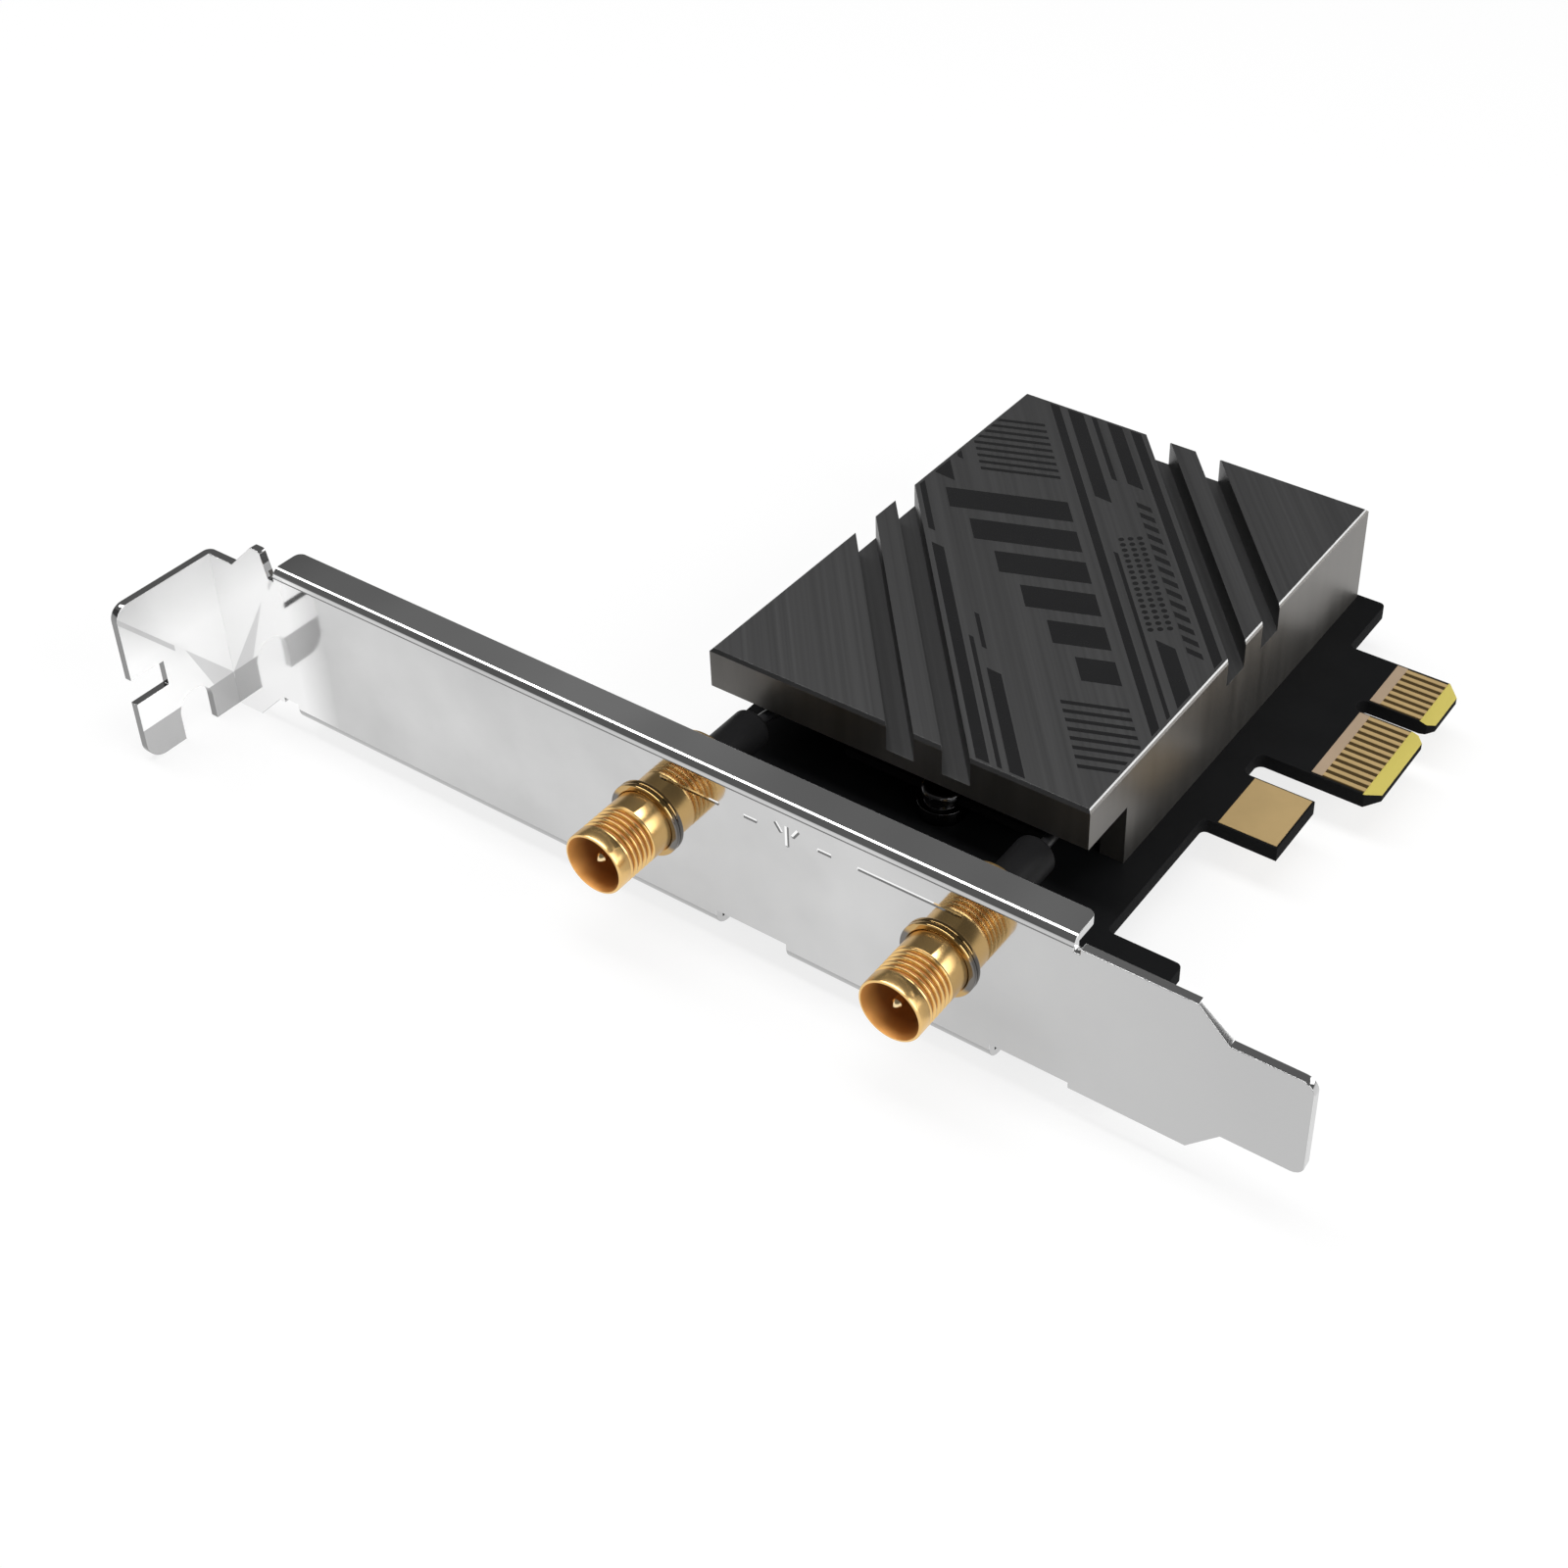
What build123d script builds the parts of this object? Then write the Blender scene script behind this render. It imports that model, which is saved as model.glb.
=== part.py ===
from build123d import *
import math
import os

# Wireless radio on an expansion card with a full-height slot bracket
# Origin: middle of the connector key, on the connector's leading edge, half-way through the board
# +X runs from the bracket into the case, +Y from the connector to the screw tab, +Z is the component side

# Circuit board
board_thickness = 1.57
board_base = 12.35
board_rim = 0.35
board_tail = 0.4
board_corner = 0.6
bracket_gap = 0.34
leg_width = 14.2
leg_drop = 7.55
retainer_near = 23.45
retainer_width = 7.85
retainer_drop = 7.63
connector_near = 12.15
connector_far = 8.15
key_width = 1.9
key_depth = 7.75
key_end_radius = 0.85
edge_chamfer = 1.3
key_chamfer = 0.7
bevel_length = 1.35
bevel_depth = 0.4
slot_radius = 0.8

# Gold contacts on the board
contact_pitch = 1.0
contact_width = 0.5
contact_first = 1.5
contacts_near = 11
contacts_far = 7
contact_inset = 1.45
contact_length = 5.25
gold_thickness = 0.05
pad_length = 6.0
pad_margin = 0.2

# Slot bracket, one folded sheet
sheet = 0.86
key_to_bracket = 56.6
edge_to_tip = 14.15
seat_height = 119.16
strip_width = 16.05
tip_width = 10.19
tip_length = 7.3
tip_radius = 1.2
shoulder_width = 18.42
shoulder_start = 110.9
shoulder_crest = 1.2
shoulder_radius = 0.4
tab_depth = 11.43
tab_offset = 3.17
tab_land = 3.2
tab_top_radius = 1.5
tab_foot_radius = 2.0
tab_bend_radius = 0.8
notch_depth = 3.9
notch_width = 2.87
notch_height = 7.22
screw_slot_width = 4.0
screw_slot_depth = 4.9
screw_slot_offset = 4.97
flange_start = 21.3
flange_end = 110.2
flange_rise = 0.8
flange_depth = 3.65
flange_corner = 0.8
fold_inside = 0.14
lip_inside = 0.84
lip_depth = 3.0
lower_lip_start = 28.8
lower_lip_end = 50.0
upper_lip_start = 57.7
upper_lip_end = 110.1
ear_depth = 8.4
ear_corner = 1.2
lower_ear_start = 21.2
lower_ear_end = 27.7
upper_ear_start = 51.0
upper_ear_end = 57.0
ear_hole_offset = 5.2
ear_rise = 0.07
relief_height = 0.6
relief_end = 1.9

# Bracket screws
bracket_screw_radius = 1.25
bracket_screw_head = 2.3
bracket_screw_crown = 1.5
bracket_screw_reach = 0.4
screw_clearance = 0.2
thread_gap = 0.03

# Antenna jacks
jack_height = 6.2
lower_jack = 19.71
upper_jack = 50.81
jack_reach = 7.33
jack_radius = 3.1
neck_radius = 2.75
jack_chamfer = 0.28
jack_bore = 2.35
jack_mouth = 2.72
mouth_depth = 0.5
jack_hole_gap = 0.15
hex_width = 8.0
hex_end = 8.4
hex_bevel = 0.35
barrel_radius = 1.5
barrel_length = 3.8
end_wall = 0.8
ring_width = 0.65
ring_thickness = 0.5
washer_radius = 4.3
washer_thickness = 0.6
insulator_depth = 3.9
pin_radius = 0.45
pin_setback = 0.6
pin_point = 0.5
pin_tail = 0.1
fit_gap = 0.03

# Pigtails
sleeve_radius = 2.03
sleeve_length = 7.2
sleeve_taper = 0.5
coax_radius = 0.565
plug_radius = 1.1
plug_inset = 4.2
plug_spread = 9.0
arm_length = 2.2
arm_half = 0.7
receptacle_radius = 0.85
receptacle_height = 0.55
upper_arm_angle = 110.0
lower_arm_angle = 218.0
upper_leaving = 3.2
lower_leaving = 2.6
upper_lead = 4.2
lower_lead = 2.4
bend_share = 0.45

# Radio module in its edge socket
module_width = 22.0
module_thickness = 0.8
module_lift = 1.5
module_near = 36.0
module_centre = 33.05
module_notch = 1.75
socket_depth = 8.7
socket_width = 22.8
socket_height = 3.4
socket_engage = 4.0
socket_slot_gap = 0.05
standoff_radius = 2.4
module_screw_head = 2.03
module_screw_crown = 1.0
module_screw_radius = 1.0
module_screw_length = 1.4
shield_length = 19.0
shield_width = 20.0
shield_height = 1.4
shield_wall = 0.2
shield_inset = 6.0
shield_socket_gap = 1.0
chip_size = 10.0
chip_height = 0.9

# Heatsink
sink_near = 39.75
sink_far = 16.5
sink_setback = 3.1
sink_width = 41.35
sink_height = 11.1
slab_thickness = 4.4
skirt_setback = 6.8
skirt_wall = 2.5
sink_chamfer = 0.3
groove_angle = 40.4
groove_width = 2.3
groove_depth = 2.95
groove_pitch = 4.58
upper_groove_offset = 15.25
lower_groove_offset = 17.4
thermal_pad_thickness = 1.3
thermal_pad_size = 18.0
pedestal_size = 20.0
boss_radius = 2.6
boss_inset = 3.6
sink_screw_radius = 1.2
sink_screw_head = 2.2
sink_screw_crown = 1.3
sink_screw_reach = 4.5
hole_bottom = 0.5

# Capacitors under the heatsink
bulk_length = 3.5
bulk_width = 2.8
bulk_height = 1.9
bulk_spread = 9.0
bulk_back = 2.6
small_length = 1.6
small_width = 0.8
small_height = 0.8
small_pitch = 2.0
small_count = 4
small_inset = 3.5
small_start = 1.2

# Levels and edges that several pieces share
board_top = board_thickness / 2
board_bottom = -board_thickness / 2
bracket_front = -key_to_bracket
bracket_back = bracket_front + sheet
board_near = bracket_back + bracket_gap
tip_y = -edge_to_tip
seat_y = tip_y + seat_height
strip_z = board_bottom - sheet - ear_rise
strip_top = strip_z + strip_width
flange_top = strip_top + flange_rise
shoulder_top = strip_z + shoulder_width
tab_bottom = strip_z - tab_offset
tab_top = tab_bottom + shoulder_width
sink_low = board_base + sink_setback
sink_high = sink_low + sink_width
board_high = sink_high + board_rim
board_far = sink_far + board_tail
sink_top = board_top + sink_height
slab_bottom = sink_top - slab_thickness
skirt_near = -sink_near + skirt_setback
module_length = shield_inset + shield_length + shield_socket_gap + socket_engage
module_bottom = board_top + module_lift
module_top = module_bottom + module_thickness
shield_top = module_top + shield_height
pad_top = shield_top + thermal_pad_thickness
jack_places = {"lower": lower_jack, "upper": upper_jack}
ear_places = ((lower_ear_start + lower_ear_end) / 2, (upper_ear_start + upper_ear_end) / 2)
ear_hole_x = bracket_front + ear_hole_offset
hex_start = sheet + washer_thickness
barrel_end = hex_end + barrel_length

side_plane = Plane(origin=(0, 0, 0), x_dir=(0, 1, 0), z_dir=(1, 0, 0))
front_plane = Plane(origin=(0, 0, 0), x_dir=(1, 0, 0), z_dir=(0, -1, 0))


def outline(*corners):
    """Closed face from corners given as (u, v) or (u, v, radius)."""
    points = [(corner[0], corner[1]) for corner in corners]
    radii = [corner[2] if len(corner) > 2 else 0 for corner in corners]
    return make_face(FilletPolyline(*points, radius=radii, close=True))


def box(low, high):
    """Block between two opposite corners."""
    size = [b - a for a, b in zip(low, high)]
    return Pos(*low) * Box(*size, align=(Align.MIN, Align.MIN, Align.MIN))


def across(face, x, thickness):
    """Sheet whose outline is drawn in Y and Z."""
    return Pos(x, 0, 0) * extrude(side_plane * face, amount=thickness)


def along(face, y, thickness):
    """Sheet whose outline is drawn in X and Z."""
    return Pos(0, y, 0) * extrude(front_plane * face, amount=-thickness)


def level(face, z, thickness):
    """Sheet whose outline is drawn in X and Y."""
    return Pos(0, 0, z) * extrude(face, amount=thickness)


def turned(*corners):
    """Solid turned about X from corners given as (x, radius)."""
    return revolve(front_plane * outline(*corners), axis=Axis.X)


def tube(start, end, inner, outer):
    """Plain ring about X."""
    return turned((start, inner), (start, outer), (end, outer), (end, inner))


def post(x, y, low, high, radius):
    """Upright round post."""
    return Pos(x, y, low) * Cylinder(radius, high - low, align=(Align.CENTER, Align.CENTER, Align.MIN))


def drill_x(y, z, radius, reach):
    """Round cutter along X through the bracket."""
    return Pos(bracket_front, y, z) * Rot(0, 90, 0) * Cylinder(radius, reach)


def pan_screw(head, crown, radius, length):
    """Screw that stands on its seat at zero, head upwards."""
    face = outline(
        (0, -length),
        (radius, -length),
        (radius, 0),
        (head, 0),
        (head, crown),
        (0, crown),
    )
    return revolve(Plane.XZ * face, axis=Axis.Z)


def circuit_board():
    """Board with its bracket leg, retainer and keyed edge connector."""
    half_key = key_width / 2
    leg_far = board_near + leg_width
    leg_end = board_base - leg_drop
    retainer_far = -retainer_near + retainer_width
    retainer_end = board_base - retainer_drop
    face = outline(
        (board_near, leg_end, board_corner),
        (leg_far, leg_end, board_corner),
        (leg_far, board_base, board_corner),
        (-retainer_near, board_base, board_corner),
        (-retainer_near, retainer_end),
        (retainer_far, retainer_end),
        (retainer_far, board_base, slot_radius),
        (-connector_near, board_base, slot_radius),
        (-connector_near, edge_chamfer),
        (-connector_near + edge_chamfer, 0),
        (-half_key - key_chamfer, 0),
        (-half_key, key_chamfer),
        (-half_key, key_depth, key_end_radius),
        (half_key, key_depth, key_end_radius),
        (half_key, key_chamfer),
        (half_key + key_chamfer, 0),
        (connector_far - edge_chamfer, 0),
        (connector_far, edge_chamfer),
        (connector_far, board_base, board_corner),
        (board_far, board_base, board_corner),
        (board_far, board_high, board_corner),
        (board_near, board_high, board_corner),
    )
    board = level(face, board_bottom, board_thickness)
    for side in (1, -1):
        bevel = outline(
            (0, side * board_top),
            (0, side * (board_top - bevel_depth)),
            (bevel_length, side * board_top),
        )
        board -= across(bevel, -connector_near, connector_near + connector_far)
    for y in ear_places:
        board -= post(ear_hole_x, tip_y + y, board_bottom, board_top, bracket_screw_radius + screw_clearance)
    for x, y in sink_screw_places():
        board -= post(x, y, board_bottom, board_top, sink_screw_radius + screw_clearance)
    return board


def edge_contacts():
    """Gold fingers on both faces of the edge connector."""
    centres = [-contact_first - contact_pitch * k for k in range(contacts_near)]
    centres += [contact_first + contact_pitch * k for k in range(contacts_far)]
    fingers = []
    for x in centres:
        for low in (board_top, board_bottom - gold_thickness):
            left = x - contact_width / 2
            fingers.append(
                box(
                    (left, contact_inset, low),
                    (left + contact_width, contact_inset + contact_length, low + gold_thickness),
                )
            )
    return Compound(children=fingers)


def retainer_pads():
    """Plain gold areas on both faces of the retainer."""
    end = board_base - retainer_drop + pad_margin
    near = -retainer_near + pad_margin
    far = -retainer_near + retainer_width - pad_margin
    pads = []
    for low in (board_top, board_bottom - gold_thickness):
        pads.append(box((near, end, low), (far, end + pad_length, low + gold_thickness)))
    return Compound(children=pads)


def folded(start, end, edge, inner, depth, corner, inside):
    """Strip folded back from the bracket's face, with its outer bend at edge and its leg towards inner."""
    step = math.copysign(sheet, inner - edge)
    profile = outline(
        (0, edge, inside + sheet),
        (depth, edge),
        (depth, edge + step),
        (sheet, edge + step, inside),
        (sheet, inner),
        (0, inner),
    )
    strip = Pos(bracket_front, 0, 0) * along(profile, tip_y + start, end - start)
    low, high = sorted((edge, edge + step))
    plan = outline(
        (0, tip_y + start),
        (depth, tip_y + start, corner),
        (depth, tip_y + end, corner),
        (0, tip_y + end),
    )
    limit = Pos(bracket_front, 0, 0) * level(plan, low, high - low)
    wall = box(
        (bracket_front, tip_y + start, min(edge, inner)),
        (bracket_back, tip_y + end, max(edge, inner)),
    )
    return strip & (limit + wall)


def bracket():
    """Slot bracket: face, pointed tip, screw tab, upper flange, lower lips and board ears."""
    tip_low = strip_z + (strip_width - tip_width) / 2
    tip_high = tip_low + tip_width
    taper = tip_low - strip_z
    fold_line = strip_top - relief_height
    relief_top = strip_z + relief_height
    land = seat_height - tab_land
    face = outline(
        (tip_y, tip_low, tip_radius),
        (tip_y + tip_length, tip_low),
        (tip_y + tip_length + taper, strip_z),
        (tip_y + lower_ear_start, strip_z),
        (tip_y + lower_ear_start, relief_top),
        (tip_y + upper_lip_end + relief_end, relief_top),
        (tip_y + upper_lip_end + relief_end, strip_z),
        (tip_y + land - tab_offset, strip_z),
        (tip_y + land, tab_bottom),
        (seat_y, tab_bottom),
        (seat_y, tab_top),
        (tip_y + land, tab_top),
        (tip_y + land - tab_offset, shoulder_top, shoulder_radius),
        (tip_y + land - tab_offset - shoulder_crest, shoulder_top, shoulder_radius),
        (tip_y + shoulder_start, fold_line),
        (tip_y + flange_start - relief_height, fold_line),
        (tip_y + flange_start - relief_height, strip_top),
        (tip_y + tip_length + taper, strip_top),
        (tip_y + tip_length, tip_high),
        (tip_y, tip_high, tip_radius),
    )
    middle = (strip_z + strip_top) / 2
    ear_bottom = board_bottom - sheet
    lip_bottom = strip_z - sheet - lip_inside
    body = across(face, bracket_front, sheet)
    body += folded(flange_start, flange_end, flange_top, middle, flange_depth, flange_corner, fold_inside)
    for start, end in ((lower_lip_start, lower_lip_end), (upper_lip_start, upper_lip_end)):
        body += folded(start, end, lip_bottom, middle, lip_depth, flange_corner, lip_inside)
    for start, end in ((lower_ear_start, lower_ear_end), (upper_ear_start, upper_ear_end)):
        body += folded(start, end, ear_bottom, middle, ear_depth, ear_corner, fold_inside)
    body += screw_tab()
    for y in jack_places.values():
        body -= drill_x(y, jack_height, jack_radius + jack_hole_gap, flange_depth)
    for y in ear_places:
        body -= post(ear_hole_x, tip_y + y, ear_bottom, board_bottom, bracket_screw_radius + thread_gap)
    return body


def screw_tab():
    """Outward tab with its locating notch and open screw slot."""
    outer = bracket_front - tab_depth
    notch_low = tab_bottom + notch_height
    face = outline(
        (bracket_front, tab_top),
        (outer, tab_top, tab_top_radius),
        (outer, notch_low + notch_width),
        (outer + notch_depth, notch_low + notch_width),
        (outer + notch_depth, notch_low),
        (outer, notch_low),
        (outer, tab_bottom, tab_foot_radius),
        (bracket_front, tab_bottom),
    )
    tab = along(face, seat_y, sheet)
    centre = bracket_front - screw_slot_offset
    half = screw_slot_width / 2
    arc_z = tab_bottom + screw_slot_depth - half
    tab -= box((centre - half, seat_y, tab_bottom), (centre + half, seat_y + sheet, arc_z))
    tab -= Pos(centre, seat_y, arc_z) * Rot(90, 0, 0) * Cylinder(half, 4 * sheet)
    bend = outline(
        (bracket_front, seat_y),
        (bracket_front, seat_y + sheet),
        (bracket_back, seat_y + sheet, tab_bend_radius),
        (bracket_back, seat_y),
    )
    return tab + level(bend, tab_bottom, tab_top - tab_bottom)


def bracket_screws():
    """Screws that hold the board to the bracket's ears."""
    length = board_thickness + sheet + bracket_screw_reach
    screw = pan_screw(bracket_screw_head, bracket_screw_crown, bracket_screw_radius, length)
    return Compound(children=[Pos(ear_hole_x, tip_y + y, board_top) * screw for y in ear_places])


def at_jack(piece, y):
    """Place a piece drawn about the X axis at one of the jacks."""
    return Pos(bracket_front, y, jack_height) * piece


def jack_body():
    """Threaded barrel, hexagon behind the bracket and crimp barrel, bored through."""
    shell = turned(
        (-jack_reach, 0),
        (-jack_reach, jack_radius - jack_chamfer),
        (-jack_reach + jack_chamfer, jack_radius),
        (-ring_thickness, jack_radius),
        (-ring_thickness, neck_radius),
        (hex_start, neck_radius),
        (hex_start, 0),
    )
    hexagon = Pos(hex_start, 0, 0) * extrude(
        side_plane * RegularPolygon(hex_width / 2, 6, major_radius=False), amount=hex_end - hex_start
    )
    corner = hex_width / 2 / math.cos(math.pi / 6)
    round_off = turned(
        (hex_start, 0),
        (hex_start, corner - hex_bevel),
        (hex_start + hex_bevel, corner),
        (hex_end - hex_bevel, corner),
        (hex_end, corner - hex_bevel),
        (hex_end, 0),
    )
    shell += hexagon & round_off
    shell += turned((hex_end, 0), (hex_end, barrel_radius), (barrel_end, barrel_radius), (barrel_end, 0))
    bore = turned(
        (-jack_reach, 0),
        (-jack_reach, jack_mouth),
        (-jack_reach + mouth_depth, jack_bore),
        (hex_end - end_wall, jack_bore),
        (hex_end - end_wall, coax_radius + fit_gap),
        (barrel_end, coax_radius + fit_gap),
        (barrel_end, 0),
    )
    return shell - bore


def jack_insulator():
    """Insulator between the jack's shell and its centre pin."""
    front = -jack_reach + insulator_depth
    return tube(front, hex_end - end_wall, pin_radius + fit_gap, jack_bore - fit_gap)


def jack_pin():
    """Pointed centre pin."""
    tip = -jack_reach + pin_setback
    end = hex_end - end_wall - pin_tail
    return turned((tip, 0), (tip + pin_point, pin_radius), (end, pin_radius), (end, 0))


def ring_nuts():
    """Round nuts on the outer face of the bracket."""
    ring = tube(-ring_thickness, 0, jack_radius + fit_gap, jack_radius + ring_width)
    return Compound(children=[at_jack(ring, y) for y in jack_places.values()])


def lock_washers():
    """Washers between the bracket and the hexagons."""
    ring = tube(sheet, hex_start, jack_radius + jack_hole_gap, washer_radius)
    return Compound(children=[at_jack(ring, y) for y in jack_places.values()])


def crimp_sleeve():
    """Shrunk sleeve over the crimp barrel and the start of the pigtail."""
    end = hex_end + sleeve_length
    hole = coax_radius + fit_gap
    return turned(
        (hex_end, barrel_radius + fit_gap),
        (hex_end, sleeve_radius),
        (end - sleeve_taper, sleeve_radius),
        (end, sleeve_radius - sleeve_taper),
        (end, hole),
        (barrel_end, hole),
        (barrel_end, barrel_radius + fit_gap),
    )


def plug_place(name):
    """Middle of a pigtail's plug on the module, and the way its arm points."""
    side = 1 if name == "upper" else -1
    angle = upper_arm_angle if name == "upper" else lower_arm_angle
    x = -module_near + plug_inset
    y = module_centre + side * plug_spread
    return Vector(x, y, 0), Vector(math.cos(math.radians(angle)), math.sin(math.radians(angle)), 0)


def arm_level():
    """Height of the plug's arm and of the pigtail in it."""
    return module_top + arm_half


def coax(name):
    """Pigtail from the crimp barrel to the plug: straight runs joined by tangent arcs."""
    start = Vector(bracket_front + hex_end, jack_places[name], jack_height)
    sleeve_end = start.X + sleeve_length
    lead = upper_lead if name == "upper" else lower_lead
    leaving = upper_leaving if name == "upper" else lower_leaving
    middle, way = plug_place(name)
    end = middle + way * (plug_radius + fit_gap) + Vector(0, 0, arm_level())
    corner = middle + way * (arm_length + lead) + Vector(0, 0, arm_level())
    turn = Vector(sleeve_end + leaving, start.Y, start.Z)
    points = [start, turn, corner, end]
    radii = []
    for before, here, after in zip(points, points[1:], points[2:]):
        one = here - before
        two = after - here
        half_turn = math.radians(one.get_angle(two)) / 2
        radii.append(bend_share * min(one.length, two.length) / math.tan(half_turn))
    print(name, "pigtail radii", [round(radius, 2) for radius in radii])
    path = FilletPolyline(*points, radius=radii)
    cord = sweep(Plane(origin=path @ 0, z_dir=path % 0) * Circle(coax_radius), path=path)
    section = math.pi * coax_radius**2
    print(name, "pigtail volume over section times length", cord.volume / (section * path.length))
    return cord


def coax_plug(name):
    """Push-on cap with the crimped arm that grips the pigtail."""
    middle, way = plug_place(name)
    top = arm_level() + arm_half
    cap = post(middle.X, middle.Y, module_top + receptacle_height, top, plug_radius)
    centre = middle + Vector(0, 0, arm_level())
    inner = receptacle_radius + fit_gap
    arm = Plane(origin=centre + way * inner, x_dir=(0, 0, 1), z_dir=way) * Box(
        2 * arm_half, 2 * arm_half, arm_length - inner, align=(Align.CENTER, Align.CENTER, Align.MIN)
    )
    grip = Plane(origin=centre + way * plug_radius, z_dir=way) * Cylinder(
        coax_radius + fit_gap, arm_length, align=(Align.CENTER, Align.CENTER, Align.MIN)
    )
    return cap + arm - grip


def coax_receptacles():
    """Low round receptacles on the module under the plugs."""
    posts = []
    for name in jack_places:
        middle, _ = plug_place(name)
        posts.append(post(middle.X, middle.Y, module_top, module_top + receptacle_height, receptacle_radius))
    return Compound(children=posts)


def module_board():
    """Radio module's board with the half-round screw notch."""
    low = module_centre - module_width / 2
    board = box(
        (-module_near, low, module_bottom),
        (-module_near + module_length, low + module_width, module_top),
    )
    return board - post(-module_near, module_centre, module_bottom, module_top, module_notch)


def socket_near():
    """Face of the edge socket that the module enters."""
    return -module_near + module_length - socket_engage


def module_socket():
    """Edge socket for the module."""
    low = module_centre - socket_width / 2
    near = socket_near()
    body = box((near, low, board_top), (near + socket_depth, low + socket_width, board_top + socket_height))
    half = module_width / 2 + socket_slot_gap
    body -= box(
        (near, module_centre - half, module_bottom - socket_slot_gap),
        (near + socket_engage + socket_slot_gap, module_centre + half, module_top + socket_slot_gap),
    )
    return body


def module_standoff():
    """Threaded post under the module's screw."""
    post_body = post(-module_near, module_centre, board_top, module_bottom, standoff_radius)
    spigot = post(-module_near, module_centre, module_bottom, module_top - fit_gap, module_notch - fit_gap)
    hole = module_screw_radius + thread_gap
    low = module_top - module_screw_length - thread_gap
    return post_body + spigot - post(-module_near, module_centre, low, module_top, hole)


def module_screw():
    """Flat-topped screw that holds the module's end."""
    screw = pan_screw(module_screw_head, module_screw_crown, module_screw_radius, module_screw_length)
    return Pos(-module_near, module_centre, module_top) * screw


def shield_near():
    """Near edge of the module's shield."""
    return -module_near + shield_inset


def module_shield():
    """Pressed can over the radio chip, open below."""
    low = module_centre - shield_width / 2
    near = shield_near()
    can = box((near, low, module_top), (near + shield_length, low + shield_width, shield_top))
    return can - box(
        (near + shield_wall, low + shield_wall, module_top),
        (near + shield_length - shield_wall, low + shield_width - shield_wall, shield_top - shield_wall),
    )


def radio_chip():
    """Radio chip under the shield."""
    x = shield_near() + shield_length / 2 - chip_size / 2
    y = module_centre - chip_size / 2
    return box((x, y, module_top), (x + chip_size, y + chip_size, module_top + chip_height))


def thermal_pad():
    """Soft pad between the shield and the heatsink."""
    x = shield_near() + shield_length / 2 - thermal_pad_size / 2
    y = module_centre - thermal_pad_size / 2
    return box((x, y, shield_top), (x + thermal_pad_size, y + thermal_pad_size, pad_top))


def sink_screw_places():
    """Corners where the heatsink is screwed to the board from below."""
    return [
        (x, y)
        for x in (skirt_near + boss_inset, sink_far - boss_inset)
        for y in (sink_low + boss_inset, sink_high - boss_inset)
    ]


def groove(offset):
    """Cutter for one diagonal channel in the heatsink's top."""
    length = 2 * (sink_near + sink_far)
    centre_x = (sink_far - sink_near) / 2
    centre_y = (sink_low + sink_high) / 2
    cutter = Box(length, groove_width, 2 * groove_depth)
    return Pos(centre_x, centre_y, sink_top) * Rot(0, 0, groove_angle) * Pos(0, offset, 0) * cutter


def heatsink():
    """Grooved slab on a three-sided skirt, with a pedestal over the radio."""
    slab = box((-sink_near, sink_low, slab_bottom), (sink_far, sink_high, sink_top))
    slab = chamfer(slab.edges().group_by(Axis.Z)[-1], length=sink_chamfer)
    skirt = box((skirt_near, sink_low, board_top), (sink_far, sink_high, slab_bottom))
    skirt -= box(
        (skirt_near, sink_low + skirt_wall, board_top),
        (sink_far - skirt_wall, sink_high - skirt_wall, slab_bottom),
    )
    body = slab + skirt
    x = shield_near() + shield_length / 2 - pedestal_size / 2
    y = module_centre - pedestal_size / 2
    body += box((x, y, pad_top), (x + pedestal_size, y + pedestal_size, slab_bottom))
    for place in sink_screw_places():
        body += post(*place, board_top, slab_bottom, boss_radius)
    for place in sink_screw_places():
        hole_top = board_top + sink_screw_reach + hole_bottom
        body -= post(*place, board_top, hole_top, sink_screw_radius + thread_gap)
    for step in (-groove_pitch / 2, groove_pitch / 2):
        body -= groove(upper_groove_offset + step)
        body -= groove(-lower_groove_offset + step)
    return body


def heatsink_screws():
    """Screws through the board into the heatsink's bosses."""
    length = board_thickness + sink_screw_reach
    screw = Rot(180, 0, 0) * pan_screw(sink_screw_head, sink_screw_crown, sink_screw_radius, length)
    return Compound(children=[Pos(x, y, board_bottom) * screw for x, y in sink_screw_places()])


def bulk_capacitors():
    """Two moulded capacitors behind the module's socket."""
    x = socket_near() + socket_depth + bulk_back
    blocks = []
    for side in (-1, 1):
        y = module_centre + side * bulk_spread - bulk_width / 2
        blocks.append(box((x, y, board_top), (x + bulk_length, y + bulk_width, board_top + bulk_height)))
    return Compound(children=blocks)


def small_capacitors():
    """Row of small capacitors behind the connector."""
    y = sink_low + small_inset
    blocks = []
    for k in range(small_count):
        x = small_start + small_pitch * k
        blocks.append(box((x, y, board_top), (x + small_width, y + small_length, board_top + small_height)))
    return Compound(children=blocks)


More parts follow.
